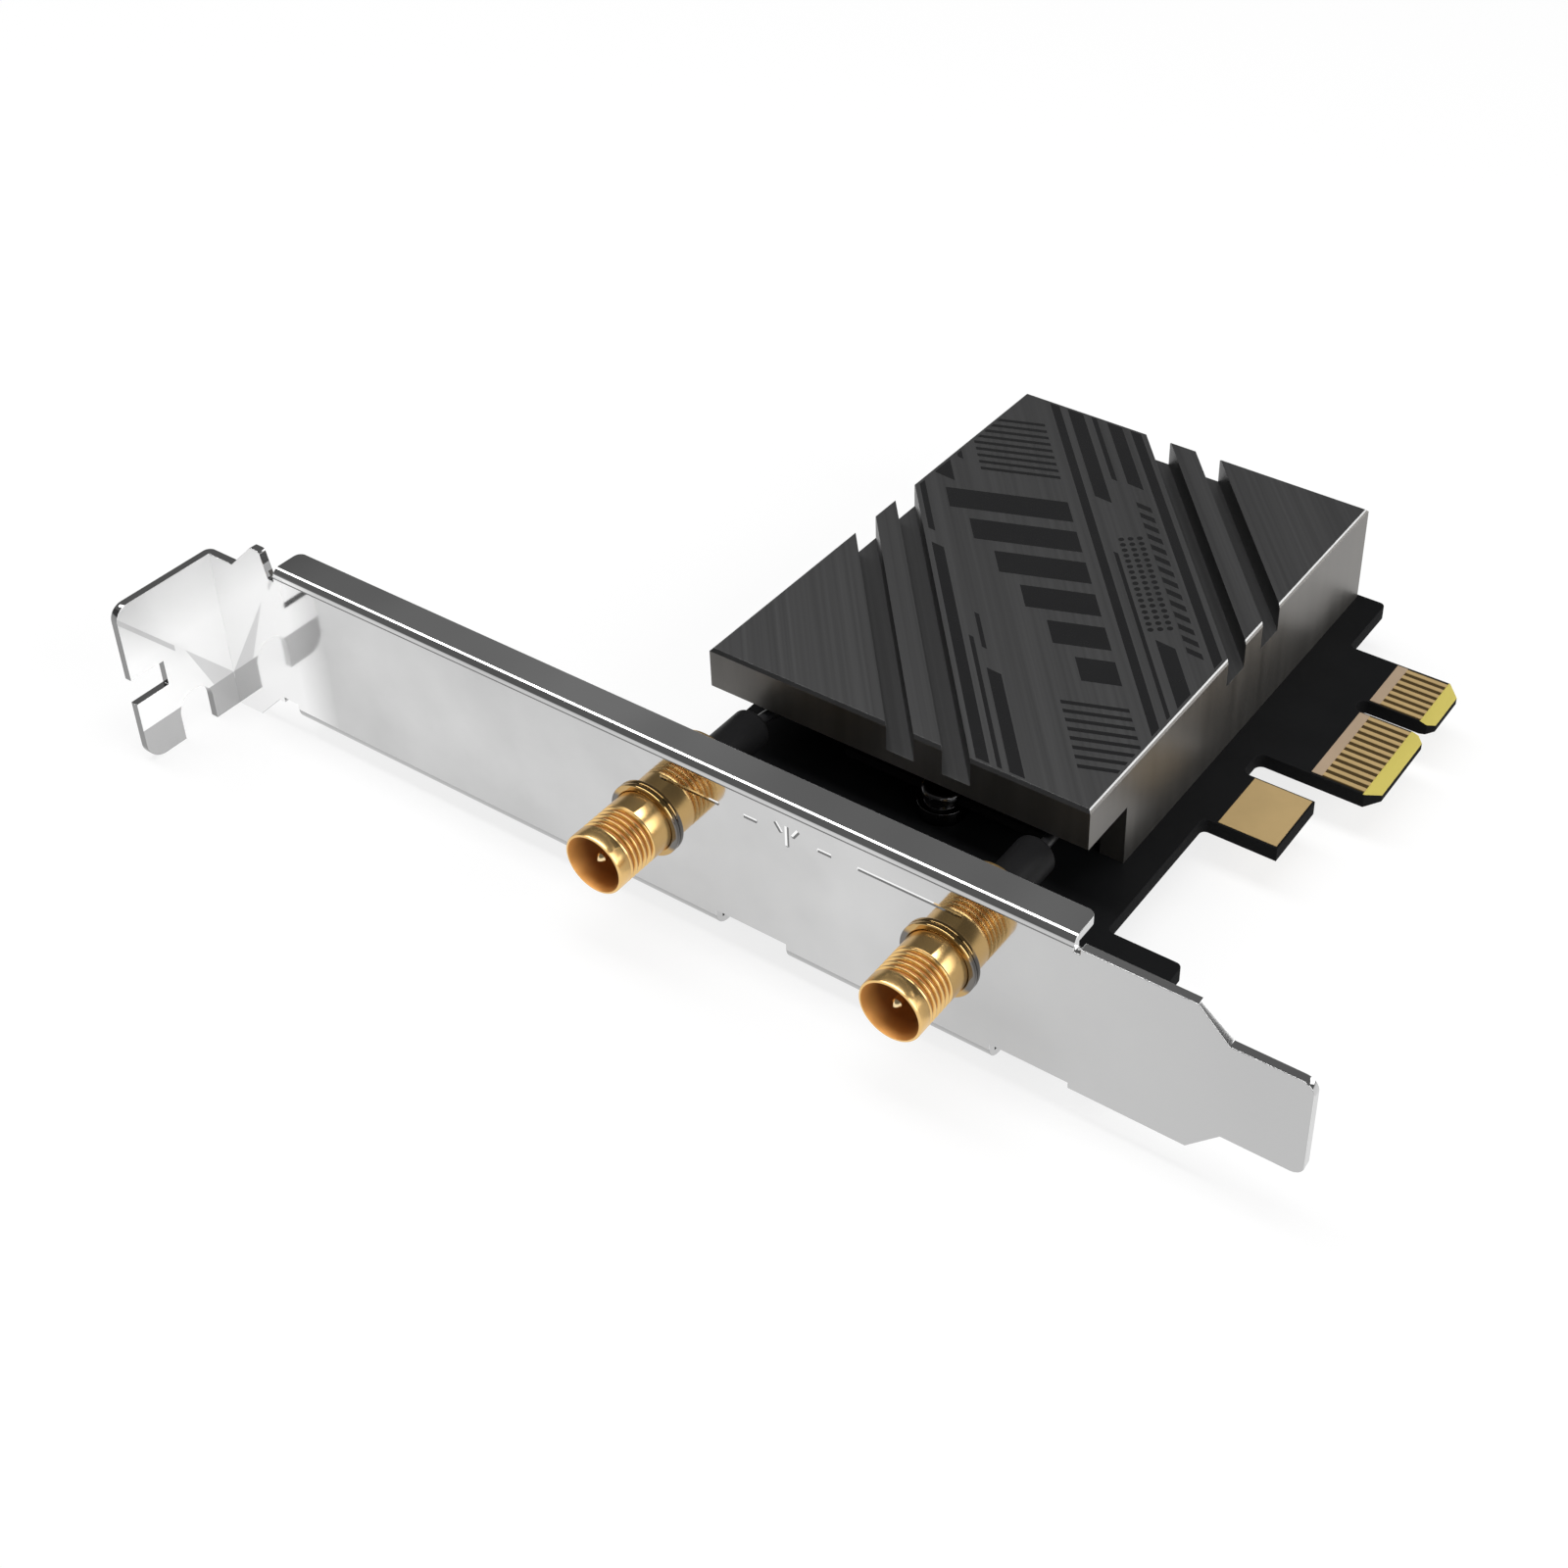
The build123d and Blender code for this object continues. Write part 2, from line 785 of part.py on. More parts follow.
nodes = {
    "circuit_board": circuit_board(),
    "edge_contacts": edge_contacts(),
    "retainer_pads": retainer_pads(),
    "bracket": bracket(),
    "bracket_screws": bracket_screws(),
    "ring_nuts": ring_nuts(),
    "lock_washers": lock_washers(),
    "coax_receptacles": coax_receptacles(),
    "module_board": module_board(),
    "module_socket": module_socket(),
    "module_standoff": module_standoff(),
    "module_screw": module_screw(),
    "module_shield": module_shield(),
    "radio_chip": radio_chip(),
    "thermal_pad": thermal_pad(),
    "heatsink": heatsink(),
    "heatsink_screws": heatsink_screws(),
    "bulk_capacitors": bulk_capacitors(),
    "small_capacitors": small_capacitors(),
}
for place, jack_y in jack_places.items():
    nodes["jack_body_" + place] = at_jack(jack_body(), jack_y)
    nodes["jack_insulator_" + place] = at_jack(jack_insulator(), jack_y)
    nodes["jack_pin_" + place] = at_jack(jack_pin(), jack_y)
    nodes["crimp_sleeve_" + place] = at_jack(crimp_sleeve(), jack_y)
    nodes["coax_" + place] = coax(place)
    nodes["coax_plug_" + place] = coax_plug(place)

os.makedirs("parts", exist_ok=True)
for name, shape in nodes.items():
    export_step(shape, "parts/" + name + ".step")
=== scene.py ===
"""Looks of a wireless expansion card, laid over its fixed solids.

Lengths are metres in the frame of the solids: +X runs from the bracket into the case, +Y from the
connector's leading edge to the screw tab, and +Z out of the component side.
"""

import math

import bmesh
import bpy
from bpy.props import FloatProperty, FloatVectorProperty, IntProperty, PointerProperty
from mathutils import Matrix, Vector


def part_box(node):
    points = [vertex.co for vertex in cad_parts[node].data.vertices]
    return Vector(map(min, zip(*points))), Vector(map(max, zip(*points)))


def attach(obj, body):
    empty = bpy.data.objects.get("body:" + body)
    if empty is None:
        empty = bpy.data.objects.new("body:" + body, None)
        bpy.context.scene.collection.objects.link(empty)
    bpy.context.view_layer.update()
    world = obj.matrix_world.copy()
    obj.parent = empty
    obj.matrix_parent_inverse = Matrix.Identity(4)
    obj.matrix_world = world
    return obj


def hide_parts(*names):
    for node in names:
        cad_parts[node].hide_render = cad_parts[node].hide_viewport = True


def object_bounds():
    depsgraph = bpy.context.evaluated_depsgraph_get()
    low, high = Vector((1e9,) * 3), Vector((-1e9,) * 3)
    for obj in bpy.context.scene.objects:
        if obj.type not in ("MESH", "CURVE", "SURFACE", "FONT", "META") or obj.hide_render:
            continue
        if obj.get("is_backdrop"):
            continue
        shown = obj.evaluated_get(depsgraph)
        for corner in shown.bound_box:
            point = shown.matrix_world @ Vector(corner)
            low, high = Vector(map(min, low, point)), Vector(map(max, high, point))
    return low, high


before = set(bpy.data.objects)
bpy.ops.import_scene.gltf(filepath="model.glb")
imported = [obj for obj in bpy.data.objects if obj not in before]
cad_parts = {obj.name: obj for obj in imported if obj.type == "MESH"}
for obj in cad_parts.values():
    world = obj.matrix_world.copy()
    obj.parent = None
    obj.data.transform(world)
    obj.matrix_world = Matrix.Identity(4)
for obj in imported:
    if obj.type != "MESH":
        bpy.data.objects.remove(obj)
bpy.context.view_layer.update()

bl_info = {
    "name": "Expansion Card Looks",
    "version": (1, 0, 0),
    "blender": (4, 5, 0),
    "location": "View3D > Sidebar > Card",
    "description": "Dresses the solids of a wireless expansion card and sets them on a stage",
    "category": "Object",
}

MM = 0.001
BODY = "root"
JACKS = ("lower", "upper")
MERGE_DISTANCE = 0.0005 * MM
SMOOTH_ANGLE = math.radians(38.0)
PICTURE_WIDTH = 36.0

FLOAT = "NodeSocketFloat"
WHOLE = "NodeSocketInt"
VECTOR = "NodeSocketVector"
OBJECT = "NodeSocketObject"
MATERIAL = "NodeSocketMaterial"
GEOMETRY = "NodeSocketGeometry"


def number(label, words, value):
    """A plain number property."""
    return FloatProperty(name=label, description=words, default=value)


def length(label, words, millimetres):
    """A length property, given in millimetres and kept in metres."""
    return FloatProperty(name=label, description=words, default=millimetres * MM, unit="LENGTH", precision=5)


def lengths(label, words, *millimetres):
    """Several lengths in one property, given in millimetres and kept in metres."""
    return FloatVectorProperty(
        name=label,
        description=words,
        size=len(millimetres),
        default=tuple(part * MM for part in millimetres),
        unit="LENGTH",
        precision=5,
    )


def angle(label, words, degrees):
    """An angle property, given in degrees and kept in radians."""
    return FloatProperty(name=label, description=words, default=math.radians(degrees), subtype="ANGLE")


def colour(label, words, red, green, blue):
    """A colour property in linear light."""
    return FloatVectorProperty(
        name=label, description=words, default=(red, green, blue), subtype="COLOR", min=0.0, max=1.0
    )


class CardSizes(bpy.types.PropertyGroup):
    """Small sizes that the solids leave out."""

    edge_break: length("Edge break", "Width of the bevel along sheet and block edges", 0.14)
    rim_bevel: length("Rim bevel", "Bevel round a jack's rim", 0.16)
    thread_rim: length("Plain rim", "Plain length of a jack before its thread", 1.33)
    thread_length: length("Thread length", "Threaded length of a jack", 3.4)
    thread_radius: length("Thread radius", "Outer radius of a jack's thread", 3.1)
    thread_pitch: length("Thread pitch", "Advance of the thread in one turn", 0.6)
    thread_depth: length("Thread depth", "Depth of the thread's grooves", 0.32)
    thread_rows: IntProperty(name="Thread rows", description="Points along a jack's thread", default=110)
    jack_segments: IntProperty(name="Jack segments", description="Steps round a jack", default=96)
    mouth_radius: length("Mouth radius", "Radius of a jack's cup at its rim", 2.86)
    mouth_depth: length("Mouth depth", "Depth of the cup's taper", 1.9)
    cup_floor: length("Cup floor", "Depth of the cup's floor behind the insulator's front", 1.0)
    bore_radius: length("Bore radius", "Radius of a jack's bore", 2.35)
    neck_radius: length("Neck radius", "Radius of a jack where it passes the bracket", 2.75)
    hex_flat: length("Hexagon", "Half the width across the flats of a jack's hexagon", 4.0)
    hex_bevel: length("Hexagon bevel", "Length of the turned-down ends of a jack's hexagon", 0.3)
    nut_lap: length("Nut lap", "Length of a jack's full width inside its nut", 0.2)
    barrel_radius: length("Barrel radius", "Radius of a jack's crimp barrel", 1.5)
    # The pale end beside the tab is a painted reflection, and the tab's grey foot is painted shade.
    tab_mirror: length("Tab mirror", "Length of the bracket's pale end beside the screw tab", 15.6)
    tab_foot: length("Tab foot", "Top of the grey foot on the screw tab", -0.95)
    stamp_shift: length("Stamp shift", "Offset of the stamped sign from the middle between the jacks", -0.05)
    stamp_height: length("Stamp height", "Height of the stamped lines above the board's middle", 11.9)
    stamp_width: length("Stamp width", "Width of the stamped lines on the bracket", 0.44)
    stamp_depth: length("Stamp depth", "Depth of the stamped lines on the bracket", 0.03)
    print_rise: length("Print rise", "Height of the print above the heatsink's top", 0.012)
    print_margin: length("Print margin", "Distance from the print to the heatsink's edges", 0.6)
    strip_rise: length("Strip rise", "Height of the plating strip above the board", 0.055)
    strip_lap: length("Strip lap", "Length of the plating strip over the contacts", 0.9)
    strip_reach: length("Strip reach", "Length of the plating strip past the contacts", 0.2)
    bevel_margin: length("Bevel margin", "Width of the plated bevel beyond the end contacts", 0.8)
    contact_margin: length("Contact margin", "Width of the contact field beyond its end contacts", 0.15)
    key_half: length("Key", "Half the width of the gap in the plating at the connector's key", 1.15)
    bracket_screw: lengths("Bracket screw", "Head radius, head height and shank radius", 2.3, 1.5, 1.25)
    heatsink_screw: lengths("Heatsink screw", "Head radius, head height and shank radius", 2.2, 1.3, 1.0)
    module_screw: lengths("Module screw", "Head radius, head height and shank radius", 2.03, 1.0, 0.85)
    groove_turn: angle("Groove turn", "Heading of the heatsink's grooves and brushing", 40.4)


class CardColours(bpy.types.PropertyGroup):
    """Colours of the finishes."""

    nickel: colour("Nickel", "Plated bracket", 0.58, 0.58, 0.58)
    # Nut tone: nickel darkened to near black, a painted shade for the dark surroundings that the polished
    # nuts mirror.
    nut: colour("Nuts", "Dark polished plating of the jacks' nuts", 0.17, 0.16, 0.15)
    gold: colour("Gold", "Plated jacks", 0.82, 0.54, 0.22)
    contact: colour("Contacts", "Plated contact areas", 0.55, 0.39, 0.18)
    mask: colour("Solder mask", "Black board lacquer", 0.006, 0.0062, 0.0066)
    sink: colour("Heatsink", "Black anodised aluminium", 0.14, 0.14, 0.141)
    ink: colour("Ink", "Gloss print on the heatsink", 0.012, 0.012, 0.0125)
    rubber: colour("Sleeve", "Dark shrunk sleeve", 0.009, 0.009, 0.0095)
    floor: colour("Floor", "Pale floor", 0.9, 0.9, 0.9)


class CardStage(bpy.types.PropertyGroup):
    """Camera and light."""

    heading: angle("Heading", "Direction of view, turned from +X towards +Y", 32.23)
    tilt: angle("Tilt", "Direction of view below the horizon", 34.97)
    roll: angle("Roll", "Turn of the picture about the direction of view", 1.06)
    place: lengths("Place", "Centre of projection", -170.99, -55.33, 142.7)
    lens: number("Lens", "Focal length in millimetres for a 36 mm picture", 52.81)
    shift: FloatVectorProperty(
        name="Shift",
        description="Picture centre away from the axis of view",
        size=2,
        default=(-0.1231, -0.1468),
    )
    floor_size: length("Floor size", "Side of the square floor", 6000.0)
    floor_glow: number("Floor glow", "Share of plain white in the floor as seen and mirrored", 0.8)
    sky_low: number("Low sky", "Brightness of the walls near the horizon", 0.95)
    sky_high: number("High sky", "Brightness of the ceiling", 0.15)
    sky_start: number("Wall height", "Sine of the height above the horizon where the walls end", 0.07)
    sky_blend: number("Wall blend", "Sine of the height over which the walls fade to the ceiling", 0.1)
    key_place: lengths("Key place", "Lamp overhead, from the card's middle", -40.0, 200.0, 620.0)
    key_size: lengths("Key size", "Width and depth of the lamp overhead", 200.0, 1000.0)
    key_power: number("Key power", "Watts of the lamp overhead", 4.6)
    side_place: lengths("Side place", "Lamp on the right, from the card's middle", -100.0, -700.0, 350.0)
    side_size: lengths("Side size", "Width and depth of the lamp on the right", 500.0, 500.0)
    side_power: number("Side power", "Watts of the lamp on the right", 3.0)
    rim_place: lengths("Rim place", "Lamp behind on the right, from the card's middle", 550.0, -450.0, 340.0)
    rim_size: lengths("Rim size", "Width and depth of the lamp behind on the right", 350.0, 350.0)
    rim_power: number("Rim power", "Watts of the lamp behind on the right", 1.2)


class Value:
    """A node's output that takes part in Python arithmetic."""

    def __init__(self, graph, socket):
        self.graph = graph
        self.socket = socket

    def __add__(self, other):
        return self.graph.math("ADD", self, other)

    def __radd__(self, other):
        return self.graph.math("ADD", other, self)

    def __sub__(self, other):
        return self.graph.math("SUBTRACT", self, other)

    def __rsub__(self, other):
        return self.graph.math("SUBTRACT", other, self)

    def __mul__(self, other):
        return self.graph.math("MULTIPLY", self, other)

    def __rmul__(self, other):
        return self.graph.math("MULTIPLY", other, self)

    def __truediv__(self, other):
        return self.graph.math("DIVIDE", self, other)

    def __rtruediv__(self, other):
        return self.graph.math("DIVIDE", other, self)

    def __abs__(self):
        return self.graph.math("ABSOLUTE", self)

    def __gt__(self, other):
        return self.graph.math("GREATER_THAN", self, other)

    def __lt__(self, other):
        return self.graph.math("LESS_THAN", self, other)

    def clamped(self):
        """The value held between 0 and 1."""
        return self.graph.math("MINIMUM", self.graph.math("MAXIMUM", self, 0.0), 1.0)


class Graph:
    """A node tree with short calls for nodes and arithmetic."""

    def __init__(self, tree):
        self.tree = tree

    def node(self, kind, settings=None, inputs=None):
        """Adds a node, sets its options, and links or sets its inputs."""
        made = self.tree.nodes.new(kind)
        for key, value in (settings or {}).items():
            setattr(made, key, value)
        for key, value in (inputs or {}).items():
            self.feed(made.inputs[key], value)
        return made

    def feed(self, socket, value):
        """Links a value to a socket, or sets the socket to a constant."""
        if isinstance(value, Value):
            self.tree.links.new(value.socket, socket)
        else:
            socket.default_value = value

    def get(self, node, output=0):
        """One of a node's outputs, ready for arithmetic."""
        return Value(self, node.outputs[output])

    def math(self, operation, *terms):
        """Adds a sum, product or other operation on values and numbers."""
        return self.get(self.node("ShaderNodeMath", {"operation": operation}, dict(enumerate(terms))))

    def split(self, vector):
        """The three parts of a vector."""
        parts = self.node("ShaderNodeSeparateXYZ", None, {0: vector})
        return [self.get(parts, axis) for axis in "XYZ"]


def rgba(tone):
    """A colour with its alpha, from three parts or one grey."""
    parts = (tone, tone, tone) if isinstance(tone, float) else tuple(tone)
    return (*parts, 1.0)


class Finish(Graph):
    """A procedural surface round one principled shader."""

    def __init__(self, name, constants):
        self.material = bpy.data.materials.new(name)
        self.material.use_nodes = True
        super().__init__(self.material.node_tree)
        self.shader = self.tree.nodes["Principled BSDF"]
        self.coords = self.get(self.node("ShaderNodeTexCoord"), "Object")
        self.facing = self.split(self.get(self.node("ShaderNodeTexCoord"), "Normal"))
        for key, value in constants.items():
            self.shader.inputs[key].default_value = value

    def noise(self, scale, detail=3.0, vector=None):
        """Soft random pattern, of about one wave in 1 / scale metres."""
        where = self.coords if vector is None else vector
        made = self.node("ShaderNodeTexNoise", None, {"Vector": where, "Scale": scale, "Detail": detail})
        return self.get(made)

    def stretched(self, scale, turn=0.0):
        """Coordinates turned about Z and then stretched, for patterns with a direction."""
        turned = self.node("ShaderNodeMapping", None, {"Vector": self.coords, "Rotation": (0.0, 0.0, -turn)})
        drawn = self.node("ShaderNodeMapping", None, {"Vector": self.get(turned), "Scale": scale})
        return self.get(drawn)

    def contrasted(self, pattern, gain):
        """A pattern with its differences from the middle enlarged."""
        return ((pattern - 0.5) * gain + 0.5).clamped()

    def blend(self, factor, first, second):
        """Colour between two others."""
        made = self.node("ShaderNodeMix", {"data_type": "RGBA"}, {0: factor, 6: first, 7: second})
        return self.get(made, 2)

    def between(self, value, low, high):
        """One where the value lies between two limits."""
        return (value > low) * (value < high)

    def paint(self, **inputs):
        """Feeds the shader: underscores stand for the spaces of its input names."""
        for key, value in inputs.items():
            self.feed(self.shader.inputs[key.replace("_", " ")], value)
        return self.material

    def relief(self, height, strength, distance):
        """Fine surface relief from a height pattern."""
        made = self.node("ShaderNodeBump", None, {
            "Height": height, "Strength": strength, "Distance": distance,
        })
        self.feed(self.shader.inputs["Normal"], self.get(made))


def shade(tone, factor):
    """A colour made darker or lighter."""
    return rgba([part * factor for part in tone])


def nut_finish(name, tone, gold, jacks):
    """Polished plating with a painted reflection of a jack's gold above and below its axis."""
    finish = Finish(name, {"Metallic": 1.0})
    above = abs(finish.split(finish.coords)[2] - jacks["height"])
    # Painted reflection: the jack's gold laid on the nut above and below its axis.
    painted_gold_reflection_mask = ((above / jacks["radius"] - 0.55) * 5.0).clamped()
    return finish.paint(
        Base_Color=finish.blend(painted_gold_reflection_mask, rgba(tone), shade(gold, 0.62)),
        Roughness=finish.noise(800.0) * 0.03 + 0.06,
    )


def strip_tone(finish, tone, bracket):
    """Colour of the bracket's strip: faint clouds, with painted reflections and painted shade for the light
    and dark lines in its bends and stamped marks.
    """
    x, y, z = finish.split(finish.coords)
    outward, sideways, lift = finish.facing
    slope = lift + sideways * 0.25
    strip = x > bracket["face"] - 1.0 * MM
    front = strip * (outward < -0.8)
    under = strip * (outward < -0.05) * (lift < -0.015)
    tip_shade_ramp = ((30.0 * MM - y) / (40.0 * MM)).clamped()
    tab_reflection_ramp = ((y - bracket["pale"]) * 220.0).clamped()
    lips = z - bracket["foot"] < -0.8 * MM
    clouds = finish.contrasted(finish.noise(52.0, 4.0), 2.2)
    # Painted reflection of the ceiling's gradient, streaked along the flange's top.
    ceiling_reflection_sweep = finish.contrasted(finish.noise(1.0, 2.0, finish.stretched((20.0, 45.0, 20.0))), 2.6)
    base = finish.blend(clouds, shade(tone, 0.86), shade(tone, 1.12))
    painted_flange_reflection = finish.blend(ceiling_reflection_sweep, shade(tone, 0.95), rgba(1.0))
    # Painted light, in order: the face darker towards the tip, a pale painted reflection beside the tab, the
    # ceiling's painted reflection on the flange, dark and light painted lines on the bends and stamped marks,
    # painted shade under the bends and on the lips, and painted shade on the tab's end edges.
    painted_light_zones = (
        (front * tip_shade_ramp, shade(tone, 0.86)),
        (front * tab_reflection_ramp, rgba(0.9)),
        (strip * (lift > 0.9), painted_flange_reflection),
        (front * finish.between(slope, 0.015, 0.156), shade(tone, 0.3)),
        (front * finish.between(slope, -0.14, -0.015), rgba(0.95)),
        (under * (lift < -0.14), shade(tone, 0.42)),
        (under * lips, shade(tone, 0.74)),
        ((1.0 - strip) * (outward < -0.6), shade(tone, 0.42)),
    )
    for zone, paint in painted_light_zones:
        base = finish.blend(zone, base, paint)
    return base


def tab_painted_reflections(finish, depth, rise):
    """Colour of the tab's inner face, painted as reflections: pale, with a grey foot of painted shade, a
    fainter wedge above it and a band.
    """
    wedge = (rise < depth * 1.19) * (depth < rise * 0.4 + 2.57 * MM)
    band = (depth > 6.0 * MM) * (abs(rise - depth * 1.19 + 0.4 * MM) < 0.36 * MM)
    # Painted shade: grey foot, wedge and band that stand in for the floor mirrored under the bracket.
    grey = ((rise < 0.0) + wedge * 0.5 + band * 0.6).clamped()
    pale = finish.blend((rise / (7.0 * MM) - 1.1).clamped(), rgba(1.0), rgba(0.72))
    return finish.blend(grey, pale, rgba(0.47))


def nickel_finish(name, tone, rough, bracket):
    """Bright plating with faint clouds, and painted reflections and painted shade on the bends and the screw
    tab.
    """
    finish = Finish(name, {})
    x, _, z = finish.split(finish.coords)
    depth = bracket["face"] - x
    tab = (depth > 0.02 * MM) * (finish.facing[1] < -0.3)
    inner = tab_painted_reflections(finish, depth, z - bracket["foot"])
    return finish.paint(
        Base_Color=finish.blend(tab, strip_tone(finish, tone, bracket), inner),
        Roughness=finish.noise(800.0) * 0.03 + rough + tab * 0.1,
        Metallic=1.0 - tab * 0.5,
    )


def gold_finish(name, tone, rough, bores=None):
    """Polished gold plating over turned brass; in the bores of a pair of jacks duller, orange at the mouth
    and darkened deeper in by painted shade.
    """
    finish = Finish(name, {})
    lathe_marks = finish.noise(1.0, 2.0, finish.stretched((5000.0, 200.0, 200.0)))
    base = finish.blend(finish.noise(500.0), shade(tone, 0.92), shade(tone, 1.05))
    texture = lathe_marks * 0.04 + rough
    if bores is None:
        return finish.paint(Base_Color=base, Roughness=texture, Metallic=1.0)
    x, y, z = finish.split(finish.coords)
    aside = abs(abs(y - bores["middle"]) - bores["spacing"])
    above = z - bores["height"]
    near = aside * aside + above * above < bores["radius"] * bores["radius"]
    inside = near * (x < bores["depth"])
    # Painted shade: the cup's colour darkens from the rim towards the bore's floor.
    painted_bore_shade = ((x - bores["rim"]) / bores["reach"]).clamped()
    cup = finish.blend(painted_bore_shade, rgba((0.85, 0.43, 0.12)), rgba((0.42, 0.18, 0.05)))
    return finish.paint(
        Base_Color=finish.blend(inside, base, cup),
        Roughness=texture + inside * 0.2,
        Metallic=1.0 - inside * 0.45,
    )


def contact_finish(name, tone):
    """Flat gold plating on copper."""
    finish = Finish(name, {"Metallic": 0.35})
    finish.relief(finish.noise(3000.0), 0.05, 0.02 * MM)
    return finish.paint(
        Base_Color=finish.blend(finish.noise(260.0), shade(tone, 0.88), shade(tone, 1.12)),
        Roughness=finish.noise(900.0) * 0.16 + 0.26,
    )


def mask_finish(name, tone, plating, connector):
    """Black lacquer over laminate; the connector's bevel is bare and its contact field shows brown."""
    finish = Finish(name, {"Metallic": 0.0, "Specular IOR Level": 0.08})
    along, inward, _ = finish.split(finish.coords)
    flat = abs(finish.facing[2]) > 0.5
    beside_key = abs(along) > connector["key"]
    plated = finish.between(along, connector["left"], connector["right"])
    field = flat * finish.between(along, connector["low"], connector["high"]) * beside_key
    bevel = flat * plated * (inward < connector["bevel"])
    gaps = field * finish.between(inward, connector["bevel"], connector["inner"])
    lacquer = finish.blend(finish.noise(240.0), shade(tone, 0.8), shade(tone, 1.3))
    brown = finish.blend(gaps, lacquer, rgba((0.055, 0.036, 0.014)))
    tracks = finish.noise(1.0, 1.0, finish.stretched((900.0, 120.0, 1.0)))
    finish.relief(tracks * 0.5 + finish.noise(5000.0) * 0.5, 0.06, 0.04 * MM)
    return finish.paint(
        Base_Color=finish.blend(bevel, brown, rgba(plating)),
        Roughness=finish.noise(1500.0) * 0.14 + 0.8 - flat * 0.46,
    )


def sink_finish(name, tone, turn, top):
    """Black anodised aluminium, brushed along the grooves on top and upright below, with a painted highlight
    along one edge, painted shade on the other chamfers and in the grooves, and lighter sides with a painted
    warm reflection of the gold.
    """
    finish = Finish(name, {"Metallic": 0.92})
    outward, sideways, lift = finish.facing
    upward = lift > 0.85
    groove = (abs(outward) + abs(sideways) > 1.2) * (lift < 0.45)
    chamfer = finish.between(lift, 0.45, 0.85)
    # Painted highlight along the top chamfer on the -Y side; painted shade on the other chamfers and the
    # groove walls.
    painted_edge_highlight = chamfer * (sideways < -0.3) * (finish.split(finish.coords)[2] > top - 0.13 * MM)
    painted_chamfer_and_groove_shade = (chamfer * (sideways > -0.3) + groove).clamped()
    long_lines = finish.noise(1.0, 5.0, finish.stretched((14.0, 2600.0, 400.0), turn))
    broad_lines = finish.noise(1.0, 2.0, finish.stretched((10.0, 420.0, 100.0), turn))
    side_lines = finish.noise(1.0, 3.0, finish.stretched((700.0, 700.0, 60.0)))
    lines = upward * (long_lines * 0.65 + broad_lines * 0.35) + (1.0 - upward) * side_lines
    contrast = finish.contrasted(lines, 1.6)
    finish.relief(lines, 0.08, 0.05 * MM)
    # Top and sides are lit and shaded copies of one anodising: the sides painted lighter and warmer, as
    # painted reflection of the floor and the gold pads.
    surface = finish.blend(contrast, shade(tone, 0.8), shade(tone, 1.25))
    gold_reflection_tint = [part * share for part, share in zip(tone, (1.0, 0.96, 0.9))]
    side = finish.blend(contrast, shade(gold_reflection_tint, 1.2), shade(gold_reflection_tint, 1.5))
    body = finish.blend(painted_chamfer_and_groove_shade, finish.blend(upward, side, surface), shade(tone, 0.4))
    return finish.paint(
        Base_Color=finish.blend(painted_edge_highlight, body, rgba(0.3)),
        Roughness=lines * 0.12 + 0.36 - upward * 0.03 - painted_edge_highlight * 0.2,
    )


def plain_finish(name, tone, rough, metal=0.0, grain=1200.0, depth=0.08, gloss=0.5):
    """Moulded, cast or sprayed surface with an even fine grain."""
    finish = Finish(name, {"Metallic": metal, "Specular IOR Level": gloss})
    texture = finish.noise(grain)
    finish.relief(texture, depth, 0.05 * MM)
    return finish.paint(
        Base_Color=finish.blend(finish.noise(grain * 0.15), shade(tone, 0.85), shade(tone, 1.15)),
        Roughness=texture * 0.12 + rough,
    )


def put(name, mesh):
    """Links a mesh to the scene as an object at the origin."""
    piece = bpy.data.objects.new(name, mesh)
    bpy.context.scene.collection.objects.link(piece)
    return piece


def baked(piece):
    """Turns a piece's modifiers into a plain mesh."""
    bpy.context.view_layer.update()
    graph = bpy.context.evaluated_depsgraph_get()
    mesh = bpy.data.meshes.new_from_object(
        piece.evaluated_get(graph), preserve_all_data_layers=True, depsgraph=graph
    )
    mesh.name = piece.name
    piece.modifiers.clear()
    piece.data = mesh
    return piece


def discard(piece):
    """Removes a helper object and its mesh."""
    mesh = piece.data
    bpy.data.objects.remove(piece)
    bpy.data.meshes.remove(mesh)


def shape_piece(name, shape):
    """Closes a bmesh into a piece with outward faces and smooth rounds."""
    bmesh.ops.remove_doubles(shape, verts=shape.verts, dist=MERGE_DISTANCE)
    bmesh.ops.recalc_face_normals(shape, faces=shape.faces)
    mesh = bpy.data.meshes.new(name)
    shape.to_mesh(mesh)
    shape.free()
    mesh.shade_smooth()
    mesh.set_sharp_from_angle(angle=SMOOTH_ANGLE)
    return put(name, mesh)


def dress(piece, finish, slot, *nodes):
    """Gives a piece its material and its place in the model."""
    piece.data.materials.clear()
    piece.data.materials.append(bpy.data.materials[finish])
    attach(piece, BODY)
    if nodes:
        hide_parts(*nodes)
    return piece


